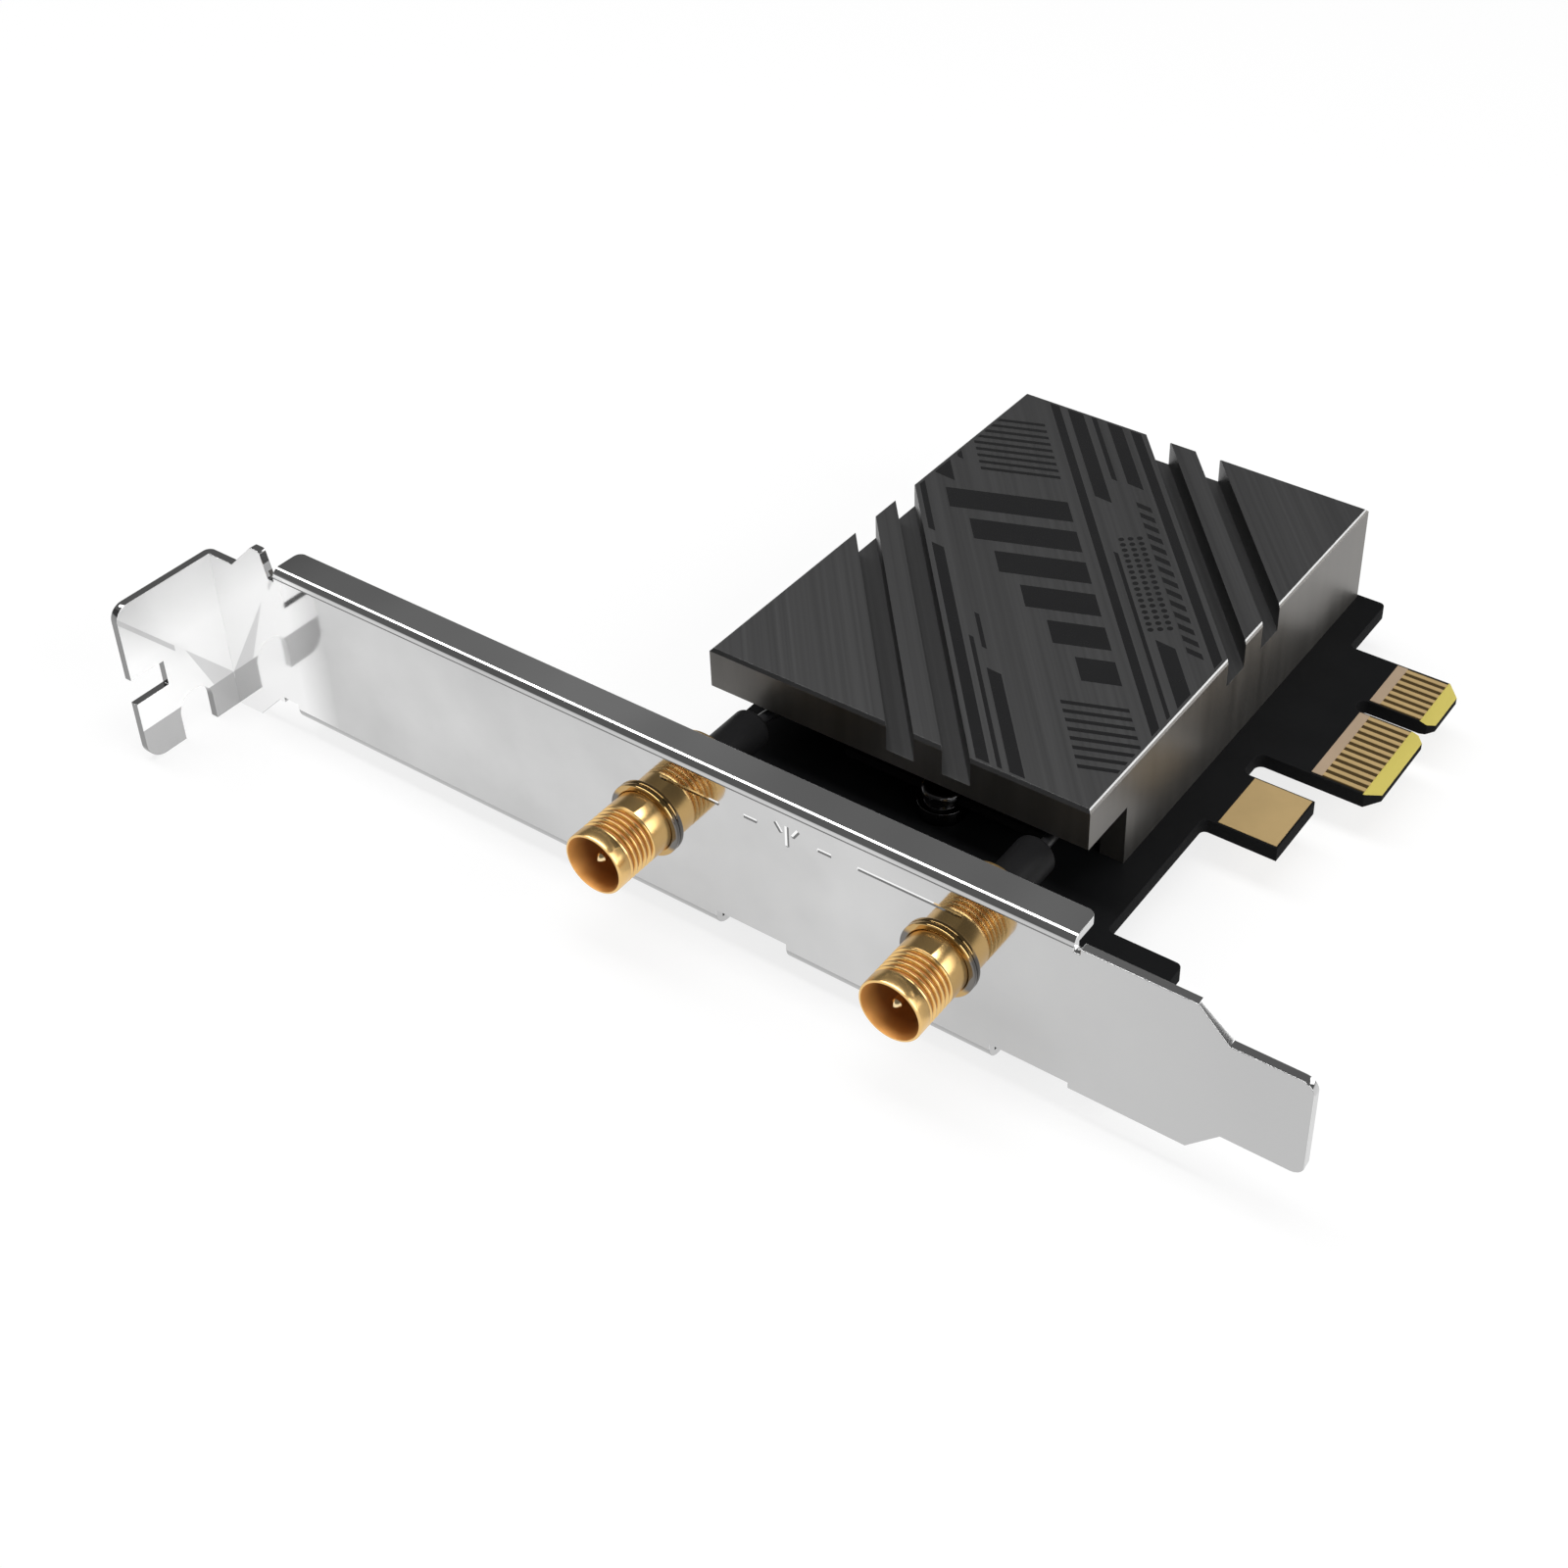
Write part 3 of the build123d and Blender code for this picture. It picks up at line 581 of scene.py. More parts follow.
def softened(node, name, width, segments=3, cutter=None):
    """Copy of a solid's mesh with whole flat faces, its edges broken and a helper object cut out of it."""
    shape = bmesh.new()
    shape.from_mesh(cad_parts[node].data)
    bmesh.ops.remove_doubles(shape, verts=shape.verts, dist=MERGE_DISTANCE)
    bmesh.ops.dissolve_limit(shape, angle_limit=math.radians(0.4), verts=shape.verts, edges=shape.edges)
    mesh = bpy.data.meshes.new(name)
    shape.to_mesh(mesh)
    shape.free()
    mesh.shade_smooth()
    piece = put(name, mesh)
    if width > 0.0:
        bevel = piece.modifiers.new("edge break", "BEVEL")
        bevel.width = width
        bevel.segments = segments
        bevel.limit_method = "ANGLE"
        bevel.angle_limit = math.radians(32.0)
        bevel.miter_outer = "MITER_ARC"
    else:
        mesh.set_sharp_from_angle(angle=SMOOTH_ANGLE)
    if cutter:
        cut_out(piece, cutter)
    normals = piece.modifiers.new("flat faces", "WEIGHTED_NORMAL")
    normals.weight = 90
    normals.keep_sharp = True
    baked(piece)
    if cutter:
        discard(cutter)
    return piece


def cut_out(piece, cutter):
    """Adds a modifier that cuts a helper object out of a piece."""
    cut = piece.modifiers.new("cut", "BOOLEAN")
    cut.operation = "DIFFERENCE"
    cut.solver = "EXACT"
    cut.use_self = True
    cut.object = cutter


def turned(shape, rows, segments):
    """Adds rings of (place along X, radius) to a bmesh and joins each to the next."""
    rings = []
    for along, radius in rows:
        ring = []
        for step in range(segments):
            heading = 2.0 * math.pi * step / segments
            reach = radius(heading) if callable(radius) else radius
            ring.append(shape.verts.new((along, reach * math.cos(heading), reach * math.sin(heading))))
        rings.append(ring)
    for first, second in zip(rings, rings[1:]):
        for step in range(segments):
            following = (step + 1) % segments
            shape.faces.new((first[step], first[following], second[following], second[step]))


def prism(shape, points, low, high):
    """Adds an upright prism over a polygon of (x, y) points to a bmesh."""
    floor = [shape.verts.new((x, y, low)) for x, y in points]
    roof = [shape.verts.new((x, y, high)) for x, y in points]
    shape.faces.new(floor[::-1])
    shape.faces.new(roof)
    for step in range(len(points)):
        following = (step + 1) % len(points)
        shape.faces.new((floor[step], floor[following], roof[following], roof[step]))


def rectangle(low_x, low_y, high_x, high_y):
    """Corners of a rectangle, in order round it."""
    return [(low_x, low_y), (high_x, low_y), (high_x, high_y), (low_x, high_y)]


def clipped(points, low, high):
    """The part of a convex polygon inside a rectangle."""
    for axis in (0, 1):
        for limit, sign in ((low[axis], 1.0), (high[axis], -1.0)):
            kept = []
            for first, second in zip(points, points[1:] + points[:1]):
                first_depth = sign * (first[axis] - limit)
                second_depth = sign * (second[axis] - limit)
                if first_depth >= 0.0:
                    kept.append(first)
                if first_depth * second_depth < 0.0:
                    share = first_depth / (first_depth - second_depth)
                    kept.append(tuple(a + (b - a) * share for a, b in zip(first, second)))
            points = kept
    return points


def geometry_tree(name, inputs):
    """An empty geometry tree with named inputs, and the values of those inputs."""
    tree = bpy.data.node_groups.new(name, "GeometryNodeTree")
    for label, kind in inputs.items():
        tree.interface.new_socket(label, in_out="INPUT", socket_type=kind)
    tree.interface.new_socket("Geometry", in_out="OUTPUT", socket_type=GEOMETRY)
    graph = Graph(tree)
    source = graph.node("NodeGroupInput")
    return graph, {label: graph.get(source, label) for label in inputs}


def close_tree(graph, geometry, finish):
    """Ends a geometry tree with real, painted mesh."""
    real = graph.node("GeometryNodeRealizeInstances", None, {"Geometry": geometry})
    painted = graph.node("GeometryNodeSetMaterial", None, {"Geometry": graph.get(real), "Material": finish})
    graph.node("NodeGroupOutput", None, {"Geometry": graph.get(painted)})
    return graph.tree


def grown(name, tree, values, base=None):
    """Plain mesh piece made by a geometry tree with the given inputs."""
    piece = put(name, base or bpy.data.meshes.new(name))
    modifier = piece.modifiers.new(tree.name, "NODES")
    modifier.node_group = tree
    for item in tree.interface.items_tree:
        if item.in_out == "INPUT" and item.name in values:
            modifier[item.identifier] = values[item.name]
    return baked(piece)


def thread_tree():
    """Threaded wall round X, plain at both ends."""
    graph, given = geometry_tree("screw thread", {
        "Start": FLOAT, "Length": FLOAT, "Radius": FLOAT, "Depth": FLOAT, "Pitch": FLOAT,
        "Rows": WHOLE, "Segments": WHOLE, "Finish": MATERIAL,
    })
    sheet = graph.node("GeometryNodeMeshGrid", None, {
        "Size X": 1.0, "Size Y": 1.0, "Vertices X": given["Rows"], "Vertices Y": given["Segments"] + 1.0,
    })
    across, around, _ = graph.split(graph.get(graph.node("GeometryNodeInputPosition")))
    along = across + 0.5
    heading = (around + 0.5) * (2.0 * math.pi)
    phase = along * given["Length"] / given["Pitch"] - (around + 0.5)
    wave = graph.math("PINGPONG", phase, 0.5) * 2.0
    slope = ((wave - 0.1) / 0.8).clamped()
    flank = slope * slope * (3.0 - 2.0 * slope)
    fade = (graph.math("MINIMUM", along, 1.0 - along) * given["Length"] / (given["Pitch"] * 0.5)).clamped()
    reach = given["Radius"] - given["Depth"] * flank * fade
    spot = graph.node("ShaderNodeCombineXYZ", None, {
        "X": given["Start"] + along * given["Length"],
        "Y": reach * graph.math("COSINE", heading),
        "Z": reach * graph.math("SINE", heading),
    })
    wall = graph.node("GeometryNodeSetPosition", None, {
        "Geometry": graph.get(sheet), "Position": graph.get(spot),
    })
    seamless = graph.node("GeometryNodeMergeByDistance", None, {
        "Geometry": graph.get(wall), "Distance": MERGE_DISTANCE,
    })
    return close_tree(graph, graph.get(seamless), given["Finish"])


def copies_tree():
    """Copies of one object, turned alike, on the points of a mesh."""
    graph, given = geometry_tree("copies on points", {
        "Geometry": GEOMETRY, "Copy": OBJECT, "Turn": VECTOR, "Finish": MATERIAL,
    })
    model = graph.node("GeometryNodeObjectInfo", None, {"Object": given["Copy"]})
    placed = graph.node("GeometryNodeInstanceOnPoints", None, {
        "Points": given["Geometry"], "Instance": graph.get(model, "Geometry"), "Rotation": given["Turn"],
    })
    return close_tree(graph, graph.get(placed), given["Finish"])


def dots_tree():
    """Turned field of flat round dots."""
    graph, given = geometry_tree("dot field", {
        "Columns": WHOLE, "Rows": WHOLE, "Pitch": FLOAT, "Radius": FLOAT, "Rise": FLOAT,
        "Place": VECTOR, "Turn": VECTOR, "Finish": MATERIAL,
    })
    field = graph.node("GeometryNodeMeshGrid", None, {
        "Size X": (given["Columns"] - 1.0) * given["Pitch"], "Size Y": (given["Rows"] - 1.0) * given["Pitch"],
        "Vertices X": given["Columns"], "Vertices Y": given["Rows"],
    })
    dot = graph.node("GeometryNodeMeshCylinder", None, {
        "Vertices": 20, "Radius": given["Radius"], "Depth": given["Rise"] * 2.0,
    })
    placed = graph.node("GeometryNodeInstanceOnPoints", None, {
        "Points": graph.get(field), "Instance": graph.get(dot),
    })
    moved = graph.node("GeometryNodeTransform", None, {
        "Geometry": graph.get(placed), "Translation": given["Place"], "Rotation": given["Turn"],
    })
    return close_tree(graph, graph.get(moved), given["Finish"])


class CARD_OT_finishes(bpy.types.Operator):
    """Makes the materials"""

    bl_idname = "card.finishes"
    bl_label = "Finishes"

    def execute(self, context):
        tones = context.scene.card_colours
        sizes = context.scene.card_sizes
        low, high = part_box("edge_contacts")
        connector = {
            "low": low.x - sizes.contact_margin, "high": high.x + sizes.contact_margin,
            "left": low.x - sizes.bevel_margin, "right": high.x + sizes.bevel_margin,
            "key": sizes.key_half - 0.05 * MM,
            "bevel": low.y, "inner": high.y,
        }
        # pale: start of the painted pale reflection beside the tab; foot: top of the tab's painted grey foot.
        bracket = {
            "face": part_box("ring_nuts")[1].x, "pale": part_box("bracket")[1].y - sizes.tab_mirror,
            "foot": sizes.tab_foot,
        }
        first, second = ((sum(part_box("jack_body_" + name), Vector()) / 2.0) for name in JACKS)
        bores = {
            "middle": (first.y + second.y) / 2.0, "spacing": (second.y - first.y) / 2.0, "height": first.z,
            "radius": sizes.mouth_radius + 0.01 * MM, "depth": bracket["face"],
            "rim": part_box("jack_body_lower")[0].x, "reach": sizes.mouth_depth,
        }
        nickel_finish("nickel", tones.nickel, 0.05, bracket)
        nut_finish("nut_plating", tones.nut, tones.gold, bores)
        gold_finish("gold", tones.gold, 0.24, bores)
        # Paler gold on the pins: a painted highlight, the jacks' plating made lighter.
        gold_finish("pin_gold", (0.95, 0.74, 0.42), 0.2)
        contact_finish("flat_gold", tones.contact)
        contact_finish("pale_gold", (0.49, 0.367, 0.255))
        mask_finish("black_lacquer", tones.mask, (0.47, 0.4, 0.1), connector)
        sink_finish("black_aluminium", tones.sink, sizes.groove_turn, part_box("heatsink")[1].z)
        plain_finish("ink", tones.ink, 0.2, grain=900.0, depth=0.03, gloss=0.2)
        plain_finish("sleeve", tones.rubber, 0.38, grain=900.0, gloss=0.08)
        plain_finish("jacket", (0.014, 0.014, 0.015), 0.3)
        plain_finish("zinc_steel", (0.5, 0.5, 0.52), 0.2, metal=1.0, grain=2600.0)
        plain_finish("black_steel", (0.08, 0.08, 0.082), 0.12, metal=1.0, grain=2600.0)
        plain_finish("black_plastic", (0.012, 0.012, 0.013), 0.42, grain=2200.0)
        plain_finish("tinned_sheet", (0.55, 0.55, 0.56), 0.26, metal=1.0, grain=1700.0)
        plain_finish("resin", (0.014, 0.014, 0.016), 0.5, grain=3000.0)
        plain_finish("ceramic", (0.25, 0.17, 0.1), 0.5, grain=2000.0)
        plain_finish("silicone", (0.22, 0.25, 0.29), 0.6, grain=1500.0)
        plain_finish("insulator", (0.62, 0.42, 0.2), 0.35, grain=1500.0)
        return {"FINISHED"}


def stamp_cutter(sizes, face, middle):
    """Ridges that press two long lines and an aerial sign into the bracket's face."""
    half = sizes.stamp_width / 2.0
    lines = [
        ((7.3 * MM, 0.0), (13.7 * MM, 0.0)),
        ((-7.3 * MM, 0.0), (-17.6 * MM, 0.0)),
        ((0.0, -1.2 * MM), (0.0, 1.0 * MM)),
        ((0.6 * MM, 0.1 * MM), (1.2 * MM, 1.0 * MM)),
        ((-0.6 * MM, 0.1 * MM), (-1.2 * MM, 1.0 * MM)),
        ((3.2 * MM, 0.0), (4.6 * MM, 0.0)),
        ((-3.2 * MM, 0.0), (-4.6 * MM, 0.0)),
    ]
    shape = bmesh.new()
    for first, second in lines:
        run = (Vector(second) - Vector(first)).normalized()
        side = Vector((-run.y, run.x)) * half
        edge = Vector((0.0, middle, sizes.stamp_height))
        ends = []
        for end, outward in ((Vector(first), -run), (Vector(second), run)):
            tip = end + outward * half
            ring = [
                edge + Vector((face + sizes.stamp_depth, end.x, end.y)),
                edge + Vector((face, end.x + side.x, end.y + side.y)),
                edge + Vector((face - sizes.stamp_depth, tip.x, tip.y)),
                edge + Vector((face, end.x - side.x, end.y - side.y)),
            ]
            ends.append([shape.verts.new(corner) for corner in ring])
        start, stop = ends
        shape.faces.new(start)
        shape.faces.new(stop[::-1])
        for step in range(4):
            following = (step + 1) % 4
            shape.faces.new((start[step], stop[step], stop[following], start[following]))
    stamp = shape_piece("stamp", shape)
    stamp.data.set_sharp_from_angle(angle=math.radians(4.0))
    return stamp


class CARD_OT_bracket(bpy.types.Operator):
    """Folded bracket with soft edges and stamped marks"""

    bl_idname = "card.bracket"
    bl_label = "Bracket"

    def execute(self, context):
        sizes = context.scene.card_sizes
        low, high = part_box("ring_nuts")
        stamp = stamp_cutter(sizes, high.x, (low.y + high.y) / 2.0 + sizes.stamp_shift)
        sheet = softened("bracket", "slot_bracket", sizes.edge_break, cutter=stamp)
        dress(sheet, "nickel", "bracket_nickel", "bracket")
        return {"FINISHED"}


class CARD_OT_board(bpy.types.Operator):
    """Board with its plated areas and parts"""

    bl_idname = "card.board"
    bl_label = "Board"

    def execute(self, context):
        sizes = context.scene.card_sizes
        panel = softened("circuit_board", "main_board", sizes.edge_break * 0.5, 2)
        dress(panel, "black_lacquer", "solder_mask", "circuit_board")
        for node in ("edge_contacts", "retainer_pads"):
            paint_node(node, "flat_gold")
        low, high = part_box("edge_contacts")
        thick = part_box("circuit_board")[1].z
        shape = bmesh.new()
        margin, key = sizes.contact_margin, sizes.key_half
        for start, end in ((low.x - margin, -key), (key, high.x + margin)):
            band = rectangle(start, high.y - sizes.strip_lap, end, high.y + sizes.strip_reach)
            prism(shape, band, thick, thick + sizes.strip_rise)
            prism(shape, band, -thick - sizes.strip_rise, -thick)
        strips = shape_piece("contact_strips", shape)
        dress(strips, "pale_gold", "contact_gold")
        for node, finish in (("bulk_capacitors", "resin"), ("small_capacitors", "ceramic")):
            paint_node(node, finish)
        return {"FINISHED"}


def paint_node(node, finish):
    """Gives a solid that stays as it is its material."""
    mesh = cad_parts[node].data
    mesh.materials.clear()
    mesh.materials.append(bpy.data.materials[finish])


class CARD_OT_heatsink(bpy.types.Operator):
    """Grooved heatsink with its print"""

    bl_idname = "card.heatsink"
    bl_label = "Heatsink"

    def execute(self, context):
        sizes = context.scene.card_sizes
        block = softened("heatsink", "grooved_heatsink", sizes.edge_break * 0.6)
        dress(block, "black_aluminium", "sink_aluminium", "heatsink")
        self.print_bars(sizes)
        self.print_dots(sizes)
        return {"FINISHED"}

    def print_bars(self, sizes):
        """Rising bars, long stripes and a row of dashes, cut off at the heatsink's edges."""
        low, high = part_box("heatsink")
        margin = Vector((sizes.print_margin, sizes.print_margin, 0.0))
        centre = (low + high) / 2.0
        shape = bmesh.new()
        for along, across, end_along, end_across, lean in self.motifs():
            corners = [
                (along, across), (end_along, across),
                (end_along + lean * (end_across - across), end_across),
                (along + lean * (end_across - across), end_across),
            ]
            turned_corners = [self.turned_spot(sizes, centre, corner) for corner in corners]
            inside = clipped(turned_corners, low + margin, high - margin)
            if len(inside) > 2:
                prism(shape, inside, high.z - sizes.print_rise, high.z + sizes.print_rise)
        dress(shape_piece("heatsink_print", shape), "ink", "sink_aluminium")

    def turned_spot(self, sizes, centre, corner):
        """Place on the heatsink of a point given in millimetres along and across its grooves."""
        along, across = corner[0] * MM, corner[1] * MM
        cosine, sine = math.cos(sizes.groove_turn), math.sin(sizes.groove_turn)
        return (centre.x + along * cosine - across * sine, centre.y + along * sine + across * cosine)

    def motifs(self):
        """Print in millimetres along and across the grooves: start, low side, end, high side, lean.

        The end is past the heatsink's edges, where print_bars cuts the stripes off.
        """
        end = 40.0
        bars = [(5.4 * step - 18.0, -3.4, 5.4 * step - 14.4, 0.2 + 1.7 * step, 0.35) for step in range(6)]
        stripes = [
            (-end, 10.2, 6.0, 11.3, 1.0), (9.0, 10.7, end, 11.3, 1.0), (-end, 9.2, -9.0, 9.6, 1.0),
            (-end, 7.4, -15.0, 8.6, 1.0), (-11.0, 8.2, -5.5, 8.6, 1.0), (18.0, 7.6, end, 9.4, 1.0),
            (22.0, 6.2, end, 6.7, 1.0), (-end, -5.6, end, -4.7, 1.0), (-end, -6.9, 3.0, -6.5, 1.0),
            (12.0, -7.9, end, -6.4, 1.0), (16.0, -9.2, end, -8.7, 1.0), (-end, -9.4, -13.0, -7.8, 1.0),
            (-end, -13.4, end, -12.4, 1.0), (14.0, -11.6, end, -10.2, 1.0), (-end, -11.4, -20.0, -10.6, 1.0),
        ]
        dashes = [(1.9 * step - 15.0, -11.7, 1.9 * step - 14.1, -10.4, 1.0) for step in range(14)]
        upper_hatch = [(1.3 * step + 17.0, -3.4, 1.3 * step + 17.5, 4.6, 0.35) for step in range(9)]
        lower_hatch = [(1.3 * step - 31.0, -3.4, 1.3 * step - 30.5, 2.6, 0.35) for step in range(8)]
        return bars + stripes + dashes + upper_hatch + lower_hatch

    def print_dots(self, sizes):
        """Field of dots beside the stripes."""
        low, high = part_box("heatsink")
        centre = (low + high) / 2.0
        x, y = self.turned_spot(sizes, centre, (-2.2, -8.6))
        field = grown("heatsink_dots", dots_tree(), {
            "Columns": 17, "Rows": 3, "Pitch": 0.95 * MM, "Radius": 0.3 * MM, "Rise": sizes.print_rise,
            "Place": (x, y, high.z), "Turn": (0.0, 0.0, sizes.groove_turn),
            "Finish": bpy.data.materials["ink"],
        })
        dress(field, "ink", "sink_aluminium")


def hexagon(flat, limit):
    """Radius of a hexagon at a heading, with corners along Y and turned down to a limit."""
    def reach(heading):
        part = heading % (math.pi / 3.0) - math.pi / 6.0
        return min(flat / math.cos(part), limit)
    return reach


class CARD_OT_jacks(bpy.types.Operator):
    """Threaded antenna jacks with their nuts and washers"""

    bl_idname = "card.jacks"
    bl_label = "Jacks"

    def execute(self, context):
        sizes = context.scene.card_sizes
        thread = thread_tree()
        for name in JACKS:
            self.shell(sizes, thread, name)
            paint_node("jack_insulator_" + name, "insulator")
            pin = softened("jack_pin_" + name, "centre_pin_" + name, 0.0)
            dress(pin, "pin_gold", "jack_gold", "jack_pin_" + name)
        nuts = softened("ring_nuts", "jack_nuts", sizes.edge_break * 0.9)
        dress(nuts, "nut_plating", "nut_nickel", "ring_nuts")
        washers = softened("lock_washers", "jack_washers", sizes.edge_break * 0.6)
        dress(washers, "nut_plating", "nut_nickel", "lock_washers")
        return {"FINISHED"}

    def shell(self, sizes, thread, name):
        """Body of one jack: mouth, threaded nose, collar, neck, hexagon and barrel."""
        node = "jack_body_" + name
        low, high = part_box(node)
        axis = (low + high) / 2.0
        rim = low.x
        start = rim + sizes.thread_rim
        stop = start + sizes.thread_length
        hex_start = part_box("lock_washers")[1].x
        hex_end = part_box("crimp_sleeve_" + name)[0].x
        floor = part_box("jack_insulator_" + name)[0].x + sizes.cup_floor
        nut_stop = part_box("ring_nuts")[0].x + sizes.nut_lap
        outer = sizes.thread_radius
        bevel = sizes.rim_bevel
        rounded = hexagon(sizes.hex_flat, sizes.hex_flat)
        cornered = hexagon(sizes.hex_flat, sizes.hex_flat * 1.15)
        front = [
            (floor, 0.0), (floor, sizes.bore_radius), (rim + sizes.mouth_depth, sizes.bore_radius),
            (rim, sizes.mouth_radius), (rim, outer - bevel), (rim + bevel * 0.3, outer - bevel * 0.3),
            (rim + bevel, outer), (start, outer),
        ]
        rear = [
            (stop, outer), (nut_stop, outer), (nut_stop, sizes.neck_radius),
            (hex_start, sizes.neck_radius), (hex_start, rounded), (hex_start + sizes.hex_bevel, cornered),
            (hex_end - sizes.hex_bevel, cornered), (hex_end, rounded),
            (hex_end, sizes.barrel_radius), (high.x, sizes.barrel_radius), (high.x, 0.0),
        ]
        wall = grown("thread_" + name, thread, {
            "Start": start, "Length": sizes.thread_length, "Radius": outer, "Depth": sizes.thread_depth,
            "Pitch": sizes.thread_pitch, "Rows": sizes.thread_rows, "Segments": sizes.jack_segments,
            "Finish": bpy.data.materials["gold"],
        })
        shape = bmesh.new()
        shape.from_mesh(wall.data)
        discard(wall)
        turned(shape, front, sizes.jack_segments)
        turned(shape, rear, sizes.jack_segments)
        bmesh.ops.translate(shape, vec=Vector((0.0, axis.y, axis.z)), verts=shape.verts)
        dress(shape_piece("antenna_jack_" + name, shape), "gold", "jack_gold", node)


def cross_screw(name, head, rise, shank, reach):
    """Screw along Z with its head's seat at the origin, a domed head and a cross recess."""
    shape = bmesh.new()
    rows = [
        (-reach, 0.0), (-reach, shank * 0.8), (shank * 0.3 - reach, shank), (0.0, shank), (0.0, head * 0.94),
        (rise * 0.08, head), (rise * 0.45, head), (rise * 0.72, head * 0.93), (rise * 0.9, head * 0.8),
        (rise * 0.97, head * 0.62), (rise, head * 0.4), (rise, 0.0),
    ]
    turned(shape, rows, 56)
    bmesh.ops.rotate(shape, matrix=Matrix.Rotation(-math.pi / 2.0, 3, "Y"), verts=shape.verts)
    screw = shape_piece(name, shape)
    cutter = bmesh.new()
    for turn in (0.0, math.pi / 2.0):
        half, wide = head * 0.52, head * 0.11
        before = set(cutter.verts)
        prism(cutter, rectangle(-half, -wide, half, wide), rise * 0.35, rise * 1.2)
        arm = [corner for corner in cutter.verts if corner not in before]
        bmesh.ops.rotate(cutter, matrix=Matrix.Rotation(turn, 3, "Z"), verts=arm)
    recess = shape_piece(name + "_recess", cutter)
    cut_out(screw, recess)
    baked(screw)
    discard(recess)
    screw.data.shade_smooth()
    screw.data.set_sharp_from_angle(angle=SMOOTH_ANGLE)
    return screw


class CARD_OT_screws(bpy.types.Operator):
    """Cross-head screws of the bracket, the heatsink and the module"""

    bl_idname = "card.screws"
    bl_label = "Screws"

    def execute(self, context):
        sizes = context.scene.card_sizes
        copies = copies_tree()
        self.batch(copies, "bracket_screws", "zinc_steel", "screw_steel", sizes.bracket_screw)
        self.batch(copies, "heatsink_screws", "black_steel", "screw_black", sizes.heatsink_screw, under=True)
        self.batch(copies, "module_screw", "black_steel", "screw_black", sizes.module_screw)
        return {"FINISHED"}

    def batch(self, copies, node, finish, slot, measures, under=False):
        """Screws of one node, on the axes of its solids."""
        head, rise, shank = measures
        low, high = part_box(node)
        seat = low.z + rise if under else high.z - rise
        reach = high.z - low.z - rise
        model = cross_screw(node + "_model", head, rise, shank, reach)
        points = bpy.data.meshes.new(node + "_points")
        points.from_pydata([(x, y, seat) for x, y in self.axes(node, head)], [], [])
        screws = grown(node + "_heads", copies, {
            "Copy": model, "Turn": (math.pi if under else 0.0, 0.0, 0.0),
            "Finish": bpy.data.materials[finish],
        }, points)
        discard(model)
        dress(screws, finish, slot, node)

    def axes(self, node, head):
        """Axes of the node's screws, as the middles of its separate solids."""
        corners = [corner.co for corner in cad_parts[node].data.vertices]
        groups = []
        for corner in corners:
            for group in groups:
                if (group[0] - corner).xy.length < head * 2.05:
                    group.append(corner)
                    break
            else:
                groups.append([corner])
        spots = []
        for group in groups:
            xs = [corner.x for corner in group]
            ys = [corner.y for corner in group]
            spots.append(((min(xs) + max(xs)) / 2.0, (min(ys) + max(ys)) / 2.0))
        return spots


class CARD_OT_module(bpy.types.Operator):
    """Radio module under the heatsink"""

    bl_idname = "card.module"
    bl_label = "Module"

    def execute(self, context):
        width = context.scene.card_sizes.edge_break
        soft = (
            ("module_shield", "radio_shield", "tinned_sheet", "shield_tin", width),
            ("module_socket", "card_socket", "black_plastic", "socket_plastic", width * 0.7),
            ("module_standoff", "screw_standoff", "black_steel", "screw_black", width * 0.5),
        )
        for node, name, finish, slot, edge in soft:
            dress(softened(node, name, edge), finish, slot, node)
        plain = {
            "module_board": "black_lacquer",
            "radio_chip": "resin",
            "thermal_pad": "silicone",
            "coax_receptacles": "gold",
        }
        for node, finish in plain.items():
            paint_node(node, finish)
        return {"FINISHED"}


class CARD_OT_pigtails(bpy.types.Operator):
    """Sleeves, coaxial leads and their plugs"""

    bl_idname = "card.pigtails"
    bl_label = "Pigtails"

    def execute(self, context):
        width = context.scene.card_sizes.edge_break
        for name in JACKS:
            sleeve = softened("crimp_sleeve_" + name, "shrunk_sleeve_" + name, width)
            dress(sleeve, "sleeve", "sleeve_rubber", "crimp_sleeve_" + name)
            lead = softened("coax_" + name, "lead_" + name, 0.0)
            dress(lead, "jacket", "coax_jacket", "coax_" + name)
            plug = softened("coax_plug_" + name, "lead_plug_" + name, width * 0.6, 2)
            dress(plug, "gold", "jack_gold", "coax_plug_" + name)
        return {"FINISHED"}


def lamp(name, place, aim, size, power):
    """Soft lamp of a width and depth, pointed at a spot."""
    light = bpy.data.lights.new(name, "AREA")
    light.shape = "RECTANGLE"
    light.size, light.size_y = size
    light.energy = power
    holder = bpy.data.objects.new(name, light)
    holder.location = place
    holder.rotation_euler = (aim - place).to_track_quat("-Z", "Y").to_euler()
    bpy.context.scene.collection.objects.link(holder)


